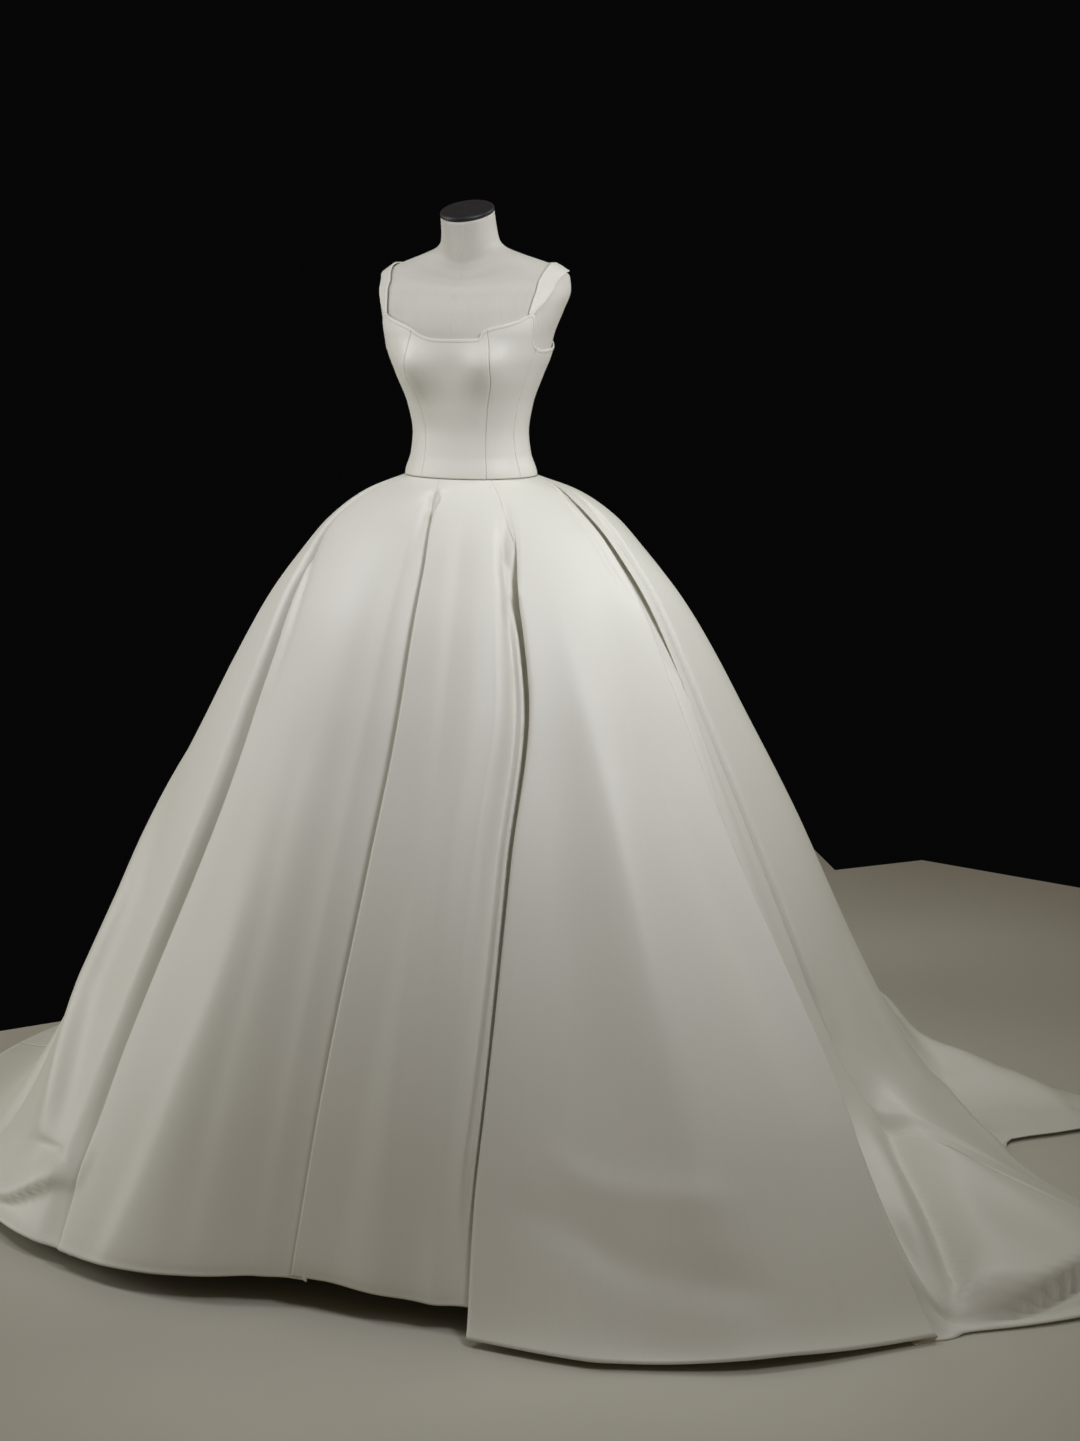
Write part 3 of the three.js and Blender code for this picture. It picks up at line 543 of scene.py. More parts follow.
waistSeamHeight = 1208
bodiceClearance = 2.6
bodiceWall = 1.8
skirtWall = 2.0
domeRows = tableOf("share height radius", [
    (0, 1206.6, 121), (0.054, 1177, 194), (0.11, 1130, 256), (0.164, 1071, 307),
    (0.228, 1000, 360), (0.319, 887, 425), (0.4, 784, 478), (0.482, 680, 532),
    (0.57, 568, 587), (0.662, 448, 642), (0.779, 293, 707), (0.895, 140, 767), (1, 0, 826),
])
domeLength = 1430
floorFillet = 0.06
rightSideShare = 0.985
leftSideShare = 1.002
hemRows = tableOf("angle radius", [
    (-180, 1680), (-172, 1630), (-162, 1480), (-146, 1200), (-128, 1040), (-108, 990),
    (-86, 1020), (-62, 1010), (-45, 950), (-28, 908), (-14, 864), (1, 795), (12, 805),
    (21, 850), (36, 955), (50, 1030), (61, 1100), (72, 1240), (81, 1330), (87, 1240), (92, 1070),
    (97, 968), (102, 975), (105.7, 1113), (109, 1240), (119, 1090), (132, 950), (145, 1010),
    (155, 1170), (165, 1420), (173, 1610),
])
# one row per pleat: the way its lip turns, the lip's direction at eight levels, then its make;
# the seventh row's directions were fitted through the camera by a separate script
pleatRows = tableOf(
    "turn waist yoke hip thigh knee calf shin hem lap depth roll open reach begin full", [
        (1, -163, -159, -157, -156, -155, -157, -159, -161, 34, 44, 8, 0.55, 62, -0.2, -0.1),
        (1, -136, -130, -127, -125, -123, -124, -127, -130, 34, 44, 8, 0.55, 62, -0.2, -0.1),
        (1, -106, -95, -89, -86, -84, -84, -87, -90, 30, 44, 8, 0.55, 62, -0.2, -0.1),
        (1, -78, -60, -45, -35, -31.5, -32.8, -31.5, -27.5, 34, 30, 6, 1, 62, -0.2, -0.1),
        (1, -12, 3.5, 6.5, 6.2, 4.2, 1.7, 0.9, 0.2, 26, 15, 3.5, 1, 62, 0.024, 0.075),
        (1, 42, 38.5, 35.6, 34.7, 28.2, 23.3, 21.6, 20.8, 28, 34, 5, 1, 62, 0.06, 0.2),
        (-1, 98, 78, 75.2, 69.7, 65.5, 63.6, 61.8, 60.5, 34, 40, 4, 1, 44, 0.01, 0.08),
        (-1, 108, 88.5, 82.8, 79.5, 78.2, 81, 82.5, 84, 24, 26, 6, 0.62, 22, 0.02, 0.16),
        (-1, 139, 131, 128, 126, 124, 124, 128, 132, 34, 44, 8, 0.55, 62, -0.2, -0.1),
        (-1, 164, 160, 158, 157, 156, 158, 160, 161, 34, 44, 8, 0.55, 62, -0.2, -0.1),
    ])
levelShares = {"waist": 0, "yoke": 0.06, "hip": 0.16, "thigh": 0.3, "knee": 0.5, "calf": 0.75,
               "shin": 0.87, "hem": 1}
pleatWaist = {"depth": 9, "roll": 2, "lap": 20}
pleatOpenReach = 120
secondRidge = {5: {"at": -10, "height": 17, "wide": 7, "begin": 0.15, "end": 0.8}}
openSteps = tableOf("step place", [
    (0, -1), (1, -0.78), (2, -0.56), (3, -0.34), (4, -0.12), (5, 0.1), (6, 0.32), (7, 0.54),
    (8, 0.77), (9, 1),
])
# for each gore its name, the height of its hem at both ends, how far its middle stands out
gores = [
    {"name": "skirt_back_right", "from": 1, "to": 1, "belly": 6},
    {"name": "skirt_back_side_right", "from": 1, "to": 1, "belly": 8},
    {"name": "skirt_side_right", "from": 1, "to": 4, "belly": 9},
    {"name": "skirt_front_side_right", "from": 6, "to": 28, "belly": 9},
    {"name": "skirt_front_right", "from": 30, "to": 46, "belly": 8},
    {"name": "skirt_front_centre", "from": 52, "to": 42, "belly": 8},
    {"name": "skirt_front_left", "from": 12, "to": 10, "belly": 14},
    {"name": "skirt_side_front_left", "from": 4, "to": 1, "belly": 4},
    {"name": "skirt_side_left", "from": 1, "to": 1, "belly": 8},
    {"name": "skirt_back_side_left", "from": 1, "to": 1, "belly": 8},
    {"name": "skirt_back_left", "from": 1, "to": 1, "belly": 6},
]
flutes = tableOf("near far height wide start", [
    (128, 116, 42, 7, 0.76), (152, 148, 55, 7, 0.7),
    (-96, -104, 60, 9, 0.74), (-128, -136, 55, 8, 0.72), (-166, -170, 45, 6, 0.7),
])
# creases laid by hand, but for the one from direction 77.8, which was fitted through the
# camera by a separate script. Each has points of direction, share of the way down and height in mm,
# and how wide it is in mm before and after its line; a crisp of 2 is soft, of 1 is sharp
creases = [
    {"runs": "share", "before": 12, "after": 4, "crisp": 1.7, "points": [
        (-6, 0.024, 0), (-4, 0.034, -7), (-1.5, 0.048, -7), (2, 0.07, -4), (4.5, 0.095, 0)]},
    {"runs": "share", "before": 4, "after": 12, "crisp": 1.7, "points": [
        (-1.5, 0.02, 0), (0, 0.034, 4), (2.5, 0.052, 3), (5, 0.08, 0)]},
    {"runs": "share", "before": 16, "after": 9, "crisp": 1.6, "points": [
        (40, 0.045, 0), (38.5, 0.07, -4), (34.5, 0.113, -7), (33, 0.145, -6), (33.5, 0.18, 0)]},
    {"runs": "share", "before": 5, "after": 6, "crisp": 1.8, "points": [
        (32.5, 0.135, 0), (33.4, 0.15, 5), (34.6, 0.175, 6), (35.2, 0.2, 0)]},
    {"runs": "share", "before": 10, "after": 4, "crisp": 1.3, "points": [
        (74, 0.055, 0), (71.6, 0.1, -3), (70.3, 0.16, -3.5), (70.4, 0.2, -2), (70.8, 0.225, 0)]},
    {"runs": "share", "before": 5, "after": 12, "crisp": 1.2, "points": [
        (-52, 0.12, 0), (-49, 0.135, -4), (-38, 0.195, -6), (-32.2, 0.278, -6), (-31, 0.355, -4),
        (-31, 0.4, 0)]},
    {"runs": "share", "before": 60, "after": 34, "crisp": 1.9, "points": [
        (-68, 0.42, 0), (-58, 0.52, 10), (-52.4, 0.62, 20), (-52, 0.708, 24), (-48.5, 0.78, 26),
        (-44.5, 0.84, 24), (-41, 0.9, 12), (-38, 0.95, 0)]},
    {"runs": "share", "before": 22, "after": 26, "crisp": 1.8, "points": [
        (-70, 0.72, 0), (-63, 0.8, -14), (-59, 0.87, -24), (-57, 0.93, -22), (-55, 1, 0)]},
    {"runs": "angle", "before": 46, "after": 16, "crisp": 1.8, "points": [
        (-75, 0.985, 0), (-62, 0.99, 10), (-48, 0.985, 20), (-39.2, 0.962, 24), (-36, 0.942, 22),
        (-33, 0.925, 14), (-29, 0.92, 0)]},
    {"runs": "angle", "before": 9, "after": 16, "crisp": 1.5, "points": [
        (-50, 0.935, 0), (-45, 0.915, -6), (-41, 0.905, -9), (-36, 0.905, -9), (-32, 0.917, 0)]},
    {"runs": "share", "before": 30, "after": 70, "crisp": 1.9, "points": [
        (-16, 0.5, 0), (-16.5, 0.638, 3), (-19, 0.78, 5), (-20.2, 0.917, 7), (-20.8, 1, 8)]},
    {"runs": "share", "before": 34, "after": 26, "crisp": 1.9, "points": [
        (-15, 0.3, 0), (-14.5, 0.42, -3), (-13, 0.6, -4), (-13.4, 0.8, -4), (-12.2, 1, -3)]},
    {"runs": "share", "before": 26, "after": 30, "crisp": 1.9, "points": [
        (-6, 0.1, 0), (-5.5, 0.25, -2.5), (-5, 0.5, -3), (-5, 0.8, -3), (-5, 1, -2)]},
    {"runs": "share", "before": 18, "after": 24, "crisp": 1.9, "points": [
        (19, 0.06, 0), (18, 0.14, -4), (16.5, 0.3, -5), (14, 0.6, -5), (12.5, 0.9, 0)]},
    {"runs": "share", "before": 60, "after": 60, "crisp": 2, "points": [
        (47, 0.12, 0), (46, 0.35, 9), (43, 0.6, 8), (42, 0.8, 0)]},
    {"runs": "share", "before": 40, "after": 55, "crisp": 1.9, "points": [
        (60, 0.2, 0), (59, 0.4, -9), (60, 0.6, -12), (60, 0.8, 0)]},
    {"runs": "angle", "before": 44, "after": 34, "crisp": 1.8, "points": [
        (24, 0.86, 0), (31, 0.88, -5), (37, 0.905, -8), (44, 0.925, -6), (50, 0.94, 0)]},
    {"runs": "angle", "before": 26, "after": 30, "crisp": 1.8, "points": [
        (29, 0.8, 0), (34, 0.83, 3), (41, 0.84, 4), (49, 0.85, 0)]},
    {"runs": "share", "before": 16, "after": 34, "crisp": 1.4, "points": [
        (77.8, 0.54, 0), (80.8, 0.595, -8), (81.2, 0.630, -14), (81.8, 0.688, -13), (80.5, 0.75, 0)]},
    {"runs": "share", "before": 90, "after": 60, "crisp": 1.9, "points": [
        (-118, 0.2, 0), (-112, 0.45, 10), (-108, 0.7, 12), (-106, 0.9, 0)]},
    {"runs": "share", "before": 60, "after": 80, "crisp": 1.9, "points": [
        (148, 0.15, 0), (145, 0.4, -10), (142, 0.7, -12), (140, 0.9, 0)]},
    {"runs": "share", "before": 40, "after": 60, "crisp": 1.7, "points": [
        (-146, 0.2, 0), (-143, 0.45, -9), (-140, 0.7, -12), (-141, 0.92, 0)]},
    {"runs": "share", "before": 70, "after": 60, "crisp": 1.9, "points": [
        (102, 0.12, 0), (101, 0.3, 9), (99, 0.5, 10), (98, 0.68, 0)]},
]
# the train beside the front: points of direction, distance from the axis and height in mm;
# the first row's directions and distances were fitted in the same way
trainCreases = [
    {"before": 34, "after": 46, "crisp": 1.5, "points": [
        (81.2, 728, 0), (81.8, 773, -18), (77.0, 855, -42), (71.5, 956, -54), (67.8, 1026, -56),
        (66.2, 1062, -54), (64.2, 1092, -14), (63.5, 1117, 0)]},
    {"before": 24, "after": 22, "crisp": 1.9, "points": [
        (76, 780, 0), (72.5, 863, 7), (68, 950, 8), (65, 1010, 5), (63.5, 1070, 0)]},
    {"before": 46, "after": 110, "crisp": 1.6, "points": [
        (86, 745, 0), (84, 800, 16), (80.5, 923, 18), (80, 1028, 16), (79.5, 1140, 8), (79, 1200, 0)]},
    {"before": 5, "after": 9, "crisp": 1.2, "points": [
        (117.5, 880, 0), (118.2, 930, -5), (118.6, 1032, -5), (118.7, 1113, -4), (118.7, 1160, 0)]},
    {"before": 8, "after": 10, "crisp": 1.5, "points": [
        (117, 905, 0), (114, 922, -5), (109, 944, 0)]},
    {"before": 60, "after": 80, "crisp": 1.9, "points": [
        (132, 800, 0), (127.5, 870, 42), (121, 954, 40), (118.2, 1026, 26), (114.3, 1094, 12),
        (110.4, 1135, 0)]},
]
trainCrest = tableOf("reach height", [
    (700, 290), (771, 200), (812, 170), (870, 142), (923, 120), (1028, 82), (1140, 52), (1250, 30),
    (1400, 12),
])
trainFar = tableOf("reach angle", [
    (760, 119), (808, 113.8), (845, 105.3), (892, 99.6), (947, 94.9), (1036, 88.8), (1103, 87),
    (1200, 84), (1400, 82),
])
trainLip = tableOf("angle reach", [
    (56, 980), (60, 1035), (62.5, 1072), (65.4, 1142), (69.2, 1167), (74.6, 1190), (80, 1215),
    (88, 1250), (95, 1190), (104, 1130), (120, 1000),
])
train = {
    "farShare": 0.68, "drop": 45, "lip": 22, "overhang": 36, "from": 82, "leastOver": 4,
    "dropShift": 0.3, "billowFrom": 61, "billowOver": 6, "hemFade": 0.04, "soft": 0.02,
    "liftFrom": 4, "liftOver": 60, "bulgeOver": 1.6, "bulgeHeight": 70,
}
skirtGrid = {"frontRows": 210, "frontColumns": 36, "backRows": 160, "backColumns": 22,
             "crowd": 1.12, "bellyFrom": 0.1, "bellyOver": 0.5, "seamInset": 0.2}
domeHeight = curveOf(domeRows, "share", "height")
domeRadius = curveOf(domeRows, "share", "radius")
hemRadius = roundCurveOf(hemRows, "radius")
pleatAngle = []
for pleatIndex in range(len(pleatRows["turn"])):
    lipTable = {
        "share": np.array(list(levelShares.values()), float),
        "angle": np.array([pleatRows[name][pleatIndex] for name in levelShares], float),
    }
    pleatAngle.append(curveOf(lipTable, "share", "angle"))


def waistRadius(angle):
    # the form's distance from the axis at the waist seam, with the bodice over it
    p = formPoint(np.full(np.shape(angle), float(waistSeamHeight)), angle)
    return np.hypot(p[..., 0], p[..., 1]) + bodiceClearance + bodiceWall * 0.6


# the panel is the front-left one; beside it, past the side, the hem's bend on the floor is tighter
skirtForm = {
    "sideTurn": 20, "panelFrom": 28, "panelOver": 18, "lipPast": 0.5, "lipOver": 5, "floorFrom": 110,
    "besideFrom": 92, "besideOver": 8, "besideTo": 134, "besideFade": 10, "besideFillet": 0.35,
    "slope": 560, "slopeOver": 0.05, "flare": 6.5, "panelFlare": 2.3, "fall": 1300, "soft": 0.022,
    "waistOver": 0.11, "endFall": 1.3,
}


def skirtProfile(angle, share):
    # the dome's radius and height, and past its foot a run along the floor
    make = skirtForm
    side = mix(rightSideShare, leftSideShare, 0.5 + 0.5 * np.sin((angle - make["sideTurn"]) * degree))
    reach = hemRadius(angle)
    floorRadius = domeRows["radius"][-1] * side
    pastLip = ease((angle - pleatAngle[6](share) - make["lipPast"]) / make["lipOver"])
    panel = ease((angle - make["panelFrom"]) / make["panelOver"]) * (1 - pastLip)
    extra = np.maximum(0, reach - floorRadius - make["floorFrom"]) / domeLength * (1 - panel)
    along = share * (1 + extra)
    beyond = np.maximum(0, along - 1)
    beside = ease((angle - make["besideFrom"]) / make["besideOver"])
    beside = beside * (1 - ease((angle - make["besideTo"]) / make["besideFade"]))
    fillet = floorFillet * mix(1, make["besideFillet"], beside)
    base = softPlus(-1.0, fillet)
    run = softPlus(along - 1, fillet) - base
    endRun = softPlus(extra, fillet) - base
    slope = make["slope"]
    level = np.minimum(1, along)
    spread = (domeLength - slope) * ease(extra / make["slopeOver"])
    bare = domeRadius(level) * side + beyond * slope + run * spread
    bareEnd = floorRadius + extra * slope + endRun * spread
    flare = (reach - bareEnd) * share ** mix(make["flare"], make["panelFlare"], panel)
    fall = domeHeight(level) - beyond * make["fall"]
    height = softPlus(fall / 1000, make["soft"]) * 1000
    waistBlend = 1 - ease(share / make["waistOver"])
    radius = bare + flare + (waistRadius(angle) - domeRows["radius"][0]) * waistBlend
    return radius, height, softPlus(-extra * make["endFall"], make["soft"]) * 1000


def fluteLift(angle, share):
    # ridges of the train: a bell across, a half sine along, from the skirt's side to the hem
    lift = np.zeros(np.broadcast(angle, share).shape)
    for near, far, height, wide, start in zip(*flutes.values()):
        way = np.clip((share - start) / (1 - start), 0, 1)
        middle = mix(near, far, way)
        lift = lift + height * np.sin(math.pi * way ** 0.8) * bump((angle - middle) / wide)
    return lift


def creaseHeight(creaseList, key, angle, along, scale):
    # each crease is a bell across a smooth line through its points, as high as they say
    total = np.zeros(np.broadcast(angle, along).shape)
    for crease in creaseList:
        runs = crease.get("runs", key)
        table = tableOf("angle " + key + " height", crease["points"])
        order = np.argsort(table[runs])
        table = {name: column[order] for name, column in table.items()}
        at = angle if runs == "angle" else along
        height = curveOf(table, runs, "height")(at)
        if runs == "angle":
            away = (along - curveOf(table, "angle", key)(angle)) * domeLength
        else:
            away = (angle - curveOf(table, key, "angle")(along)) * degree * scale
        wide = np.where(away < 0, crease["before"], crease["after"])
        total = total + height * np.exp(-np.abs(away / wide) ** crease["crisp"])
    return total


def skirtBase(angle, share):
    # the profile with the train's own forms: beside the front-left panel the cloth billows over
    # the floor, to a rolled lip in front and a drop behind
    radius, height, end = skirtProfile(angle, share)
    far = curveOf(trainFar, "reach", "angle")(radius)
    side = mix(1.0, train["farShare"], ease((angle - train["from"])
                                          / np.maximum(train["leastOver"], far - train["from"])))
    inside = (curveOf(trainLip, "angle", "reach")(angle) - radius) / train["lip"]
    drop = 1 - ease((angle - far) * degree * radius / train["drop"] + train["dropShift"])
    crest = curveOf(trainCrest, "reach", "height")(radius) * side
    creased = creaseHeight(trainCreases[:3], "reach", angle, radius, radius)
    billow = ease((angle - train["billowFrom"]) / train["billowOver"]) * drop
    billow = billow * ease((1 - share) / train["hemFade"])
    rise = softPlus((crest - height) / 1000, train["soft"]) * 1000
    lifted = ease((rise - train["liftFrom"]) / train["liftOver"])
    bulge = train["overhang"] * (ease(inside) - 0.5) * bump((inside - 0.5) / train["bulgeOver"])
    radius = radius + bulge * billow * np.clip(crest / train["bulgeHeight"], 0, 1)
    height = height + (rise + creased * lifted) * ease(inside) * billow
    height = height + creaseHeight(trainCreases[3:], "reach", angle, radius, radius)
    return radius, height, end


hemLook = {"step": 0.01, "from": 0.8, "over": 0.2, "trainFrom": 36, "trainOver": 14,
           "trainTo": 110, "mostRun": 1.3, "power": 5}


def skirtPoint(angle, share, offset, hemHeight):
    # the profile turned round the axis, moved out by the offset, its hem settled to its height
    radius, height, end = skirtBase(angle, share)
    radiusA, heightA, _ = skirtBase(angle, np.maximum(0, share - hemLook["step"]))
    radiusB, heightB, _ = skirtBase(angle, np.minimum(1, share + hemLook["step"]))
    run, fall = radiusB - radiusA, heightA - heightB
    length = np.maximum(np.hypot(run, fall), 1e-9)
    out = fall / length
    onTrain = ease((angle - hemLook["trainFrom"]) / hemLook["trainOver"])
    onTrain = onTrain * (angle < hemLook["trainTo"])
    upright = (1 - ease((share - hemLook["from"]) / hemLook["over"])) * (1 - onTrain)
    up = run / length * (upright + onTrain)
    settle = share ** hemLook["power"] * (hemHeight - end)
    r = radius + offset * out - settle * np.clip(run / np.maximum(1, fall), 0, hemLook["mostRun"])
    z = height + settle + offset * up + fluteLift(angle, share)
    s, c = np.sin(angle * degree), np.cos(angle * degree)
    return np.stack([r * s, -r * c, np.maximum(z, skirtWall / 2)], axis=-1)


pleatMake = {
    "arc": 1.1, "dipShare": 0.95, "ridgeIn": 0.1, "ridgeOut": 0.15, "openRound": 0.9,
    "openShare": 0.13, "growOver": 0.22, "fadeTo": 0.5, "fadeFrom": 0.45, "fadeOver": 0.5,
    "wideOver": 30, "wideShare": 0.13, "narrowShare": 0.09,
}


def pleatSection(index, steps, share):
    # across a pleat: the under layer dips and turns back on an arc, runs back beneath,
    # and turns out again on the lip's arc
    reach, lap, roll, depth = pleatSizes(index, share)
    radius = skirtProfile(pleatAngle[index](share), share)[0]
    arc = pleatMake["arc"] * roll
    q = steps[None, :]
    t = np.clip(q / 3, 0, 1)
    across = -reach + t * (reach + lap - arc)
    offset = -depth * ease((across + reach) / (pleatMake["dipShare"] * reach))
    inner = np.clip((q - 3) / 2, 0, 1) * math.pi - math.pi / 2
    isInner = (q > 3) & (q <= 5)
    across = np.where(isInner, lap - arc + arc * np.cos(inner), across)
    offset = np.where(isInner, -depth + roll + roll * np.sin(inner), offset)
    t = np.clip(q - 5, 0, 1)
    isMiddle = (q > 5) & (q < 6)
    across = np.where(isMiddle, mix(lap - arc, arc, t), across)
    offset = np.where(isMiddle, mix(-depth + 2 * roll, -2 * roll, ease(t)), offset)
    lipTurn = np.clip((q - 6) / 2, 0, 1) * math.pi - math.pi / 2
    isLip = (q >= 6) & (q <= 8)
    across = np.where(isLip, arc - arc * np.cos(lipTurn), across)
    offset = np.where(isLip, -roll + roll * np.sin(lipTurn), offset)
    isOver = q > 8
    across = np.where(isOver, mix(arc, reach, np.clip(q - 8, 0, 1)), across)
    offset = np.where(isOver, 0.0, offset)
    second = secondRidge.get(index)
    if second:
        rise = second["height"] * bump((across - second["at"]) / second["wide"])
        rise = rise * ease((share - second["begin"]) / pleatMake["ridgeIn"])
        rise = rise * (1 - ease((share - second["end"]) / pleatMake["ridgeOut"]))
        offset = np.where(q <= 3, offset + rise, offset)
    opened = pleatRows["open"][index]
    flat = 1 - ease((share - pleatRows["begin"][index])
                    / (pleatRows["full"][index] - pleatRows["begin"][index]))
    if opened < 1:
        flat = np.maximum(flat, ease((share - opened) / (1 - opened) / pleatMake["openRound"]))
    flatReach = np.minimum(radius * pleatMake["openShare"], pleatRows["reach"][index] * 2)
    flatReach = np.minimum(pleatOpenReach, flatReach)
    spread = np.interp(q, openSteps["step"], openSteps["place"]) * flatReach
    across = mix(across, spread, flat)
    offset = offset * (1 - flat)
    turn = pleatRows["turn"][index]
    return pleatAngle[index](share) + across * turn / radius / degree, offset


def pleatSizes(index, share):
    # how far a pleat reaches, laps, rolls and dips, growing from the waist down
    grow = ease(share / pleatMake["growOver"])
    depth = mix(pleatWaist["depth"], pleatRows["depth"][index], grow)
    fade = ease((share - pleatMake["fadeFrom"]) / pleatMake["fadeOver"])
    depth = depth * mix(1, pleatMake["fadeTo"], fade)
    roll = mix(pleatWaist["roll"], pleatRows["roll"][index], grow)
    lap = mix(pleatWaist["lap"], pleatRows["lap"][index], grow)
    radius = skirtProfile(pleatAngle[index](share), share)[0]
    wide = pleatRows["reach"][index]
    most = pleatMake["wideShare"] if wide > pleatMake["wideOver"] else pleatMake["narrowShare"]
    reach = np.minimum(wide, radius * most)
    return reach, lap, roll, depth


def goreGrid(number, rows, panelColumns):
    # one gore's directions, offsets and hem heights: a pleat's half, the panel, a pleat's half
    gore = gores[number]
    share = (np.linspace(0, 1, rows) ** skirtGrid["crowd"])[:, None]
    underSteps = np.concatenate([np.linspace(0, 3, 16, endpoint=False), np.linspace(3, 4, 6)])
    overSteps = np.concatenate([np.linspace(4, 5, 5, endpoint=False),
                                np.linspace(5, 6, 8, endpoint=False),
                                np.linspace(6, 8, 12, endpoint=False), np.linspace(8, 9, 8)])
    parts = []
    if number > 0:
        turn = pleatRows["turn"][number - 1]
        steps = overSteps if turn > 0 else underSteps[::-1]
        angle, offset = pleatSection(number - 1, steps, share)
        parts.append((angle, offset, pleatHem(number - 1, steps) + 0 * share))
    if number < len(gores) - 1:
        turn = pleatRows["turn"][number]
        steps = underSteps if turn > 0 else overSteps[::-1]
        angle, offset = pleatSection(number, steps, share)
        last = (angle, offset, pleatHem(number, steps) + 0 * share)
    else:
        last = None
    first = parts[0][0][:, -1:] if parts else np.full_like(share, -180.0)
    second = last[0][:, :1] if last else np.full_like(share, 180.0)
    t = np.linspace(0, 1, panelColumns + 2)[None, (1 if parts else 0):(-1 if last else None)]
    settled = ease((share - skirtGrid["bellyFrom"]) / skirtGrid["bellyOver"])
    belly = gore["belly"] * np.sin(math.pi * t) ** 2 * settled
    parts.append((mix(first, second, t), belly, mix(gore["from"], gore["to"], t) + 0 * share))
    if last:
        parts.append(last)
    angle, offset, hem = (np.concatenate([part[k] for part in parts], axis=1) for k in range(3))
    return angle, share + 0 * angle, offset, hem


def pleatHem(index, steps):
    # the hem's height across a pleat, from the under layer's to the over layer's
    ends = [gores[index]["to"], gores[index + 1]["from"]]
    under, over = ends if pleatRows["turn"][index] > 0 else ends[::-1]
    return mix(under, over, ease((steps - 4) / 2))[None, :]


def makeGore(number):
    # one gore as a closed shell: its middle surface moved half a wall out and half a wall in
    gore = gores[number]
    inFront = 3 <= number <= 8
    rows = skirtGrid["frontRows"] if inFront else skirtGrid["backRows"]
    columns = skirtGrid["frontColumns"] if inFront else skirtGrid["backColumns"]
    angle, share, offset, hem = goreGrid(number, rows, columns)
    radius = skirtProfile(angle, share)[0]
    offset = offset + creaseHeight(creases, "share", angle, share, radius)
    middle = skirtPoint(angle, share, offset, hem)
    for edge, beside in ((0, 1), (-1, -2)):
        inward = middle[:, beside] - middle[:, edge]
        inward = inward / np.maximum(np.linalg.norm(inward, axis=1, keepdims=True), 1e-9)
        middle[:, edge] += inward * skirtGrid["seamInset"]
    normal = gridNormals(middle)
    outer = middle + normal * skirtWall / 2
    inner = middle - normal * skirtWall / 2
    outer[..., 2] = np.maximum(outer[..., 2], 0.0)
    inner[..., 2] = np.maximum(inner[..., 2], 0.0)
    across = arcLength(middle, 1)
    u = across[rows // 2][None, :] + 0 * share
    uv = np.stack([u, share * domeLength], axis=-1) / 1000
    piece = shellOf(gore["name"] + "_satin", outer, inner, uv, satin)
    standFor(piece, gore["name"])


for goreNumber in range(len(gores)):
    makeGore(goreNumber)
print("skirt made")

# the bodice

princessSeam = tableOf("level angle", [
    (1200, 37), (1285, 39), (1335, 40), (1375, 43), (1425, 40), (1480, 34.5),
])
sideSeam = tableOf("level angle", [(1200, 70), (1285, 69), (1375, 70), (1480, 74)])
backSeam = tableOf("level angle", [(1200, 144), (1285, 142), (1480, 136)])
# the top edge behind the straps' front ends, the same on both sides
topEdgeBehind = [
    (64, 1487), (66, 1476), (68.5, 1446), (72, 1433), (80, 1427), (97, 1429), (112, 1440),
    (120, 1452), (126, 1467), (131, 1458), (142, 1442), (180, 1436),
]
topEdge = tableOf("angle level", [
    (0, 1445), (20, 1445), (31, 1446), (34.5, 1457), (43, 1465), (51, 1470), (58, 1477),
] + topEdgeBehind)
strapRows = tableOf("inAngle inLevel outAngle outLevel", [
    (61.8, 1484.8, 65, 1484.8), (63, 1512, 70.5, 1507), (66.5, 1537, 76.5, 1535),
    (73, 1556, 83, 1549), (86, 1567, 90, 1553), (99, 1567, 99, 1553), (112, 1556, 108, 1547),
    (120, 1532, 115, 1528), (125, 1504, 118.5, 1502), (128, 1467.7, 122.5, 1466.5),
])
seamAngle = {
    "front": lambda level: 0 * level,
    "princess": curveOf(princessSeam, "level", "angle"),
    "side": curveOf(sideSeam, "level", "angle"),
    "back": curveOf(backSeam, "level", "angle"),
    "centreBack": lambda level: 180 + 0 * level,
}
topEdgeRight = tableOf("angle level", [
    (0, 1445), (12, 1445), (22, 1447), (31, 1453), (43, 1465), (51, 1472), (58, 1479),
] + topEdgeBehind)
edgeLevel = {1: curveOf(topEdge, "angle", "level"), -1: curveOf(topEdgeRight, "angle", "level")}
bodiceLook = {
    "seamDip": 0.16, "seamWidth": 1.1, "waistDip": 0.12, "bindingWidth": 5.0, "bindingRise": 0.8,
    "seamGap": 0.3, "seamSlack": 0.04, "seamRadius": 100, "guessLevel": 1440.0, "waistWidth": 2.5,
    "bindingEdge": 1.2, "topWidth": 0.9, "topDip": 0.5, "topRows": 14, "topShare": 0.05,
}


def bodicePoint(edges, sign, across, up, offset):
    # a point between two seams and between the waist and the top edge, out from the form
    low = waistSeamHeight + bodiceLook["seamGap"]
    middle = np.float64(bodiceLook["guessLevel"])
    guess = mix(seamAngle[edges[0]](middle), seamAngle[edges[1]](middle), across)
    top = np.where(sign < 0, edgeLevel[-1](guess), edgeLevel[1](guess))
    level = mix(low, top, up)
    gap = bodiceLook["seamGap"] / 2 + bodiceLook["seamSlack"]
    gapAngle = (gap / bodiceLook["seamRadius"]) / degree
    first = seamAngle[edges[0]](level) + (0 if edges[0] == "front" else gapAngle)
    second = seamAngle[edges[1]](level) - gapAngle
    angle = mix(first, second, across)
    p = formPoint(level, angle, bust["ease"]) + formNormal(level, angle) * offset[..., None]
    p[..., 0] = p[..., 0] * sign
    return p


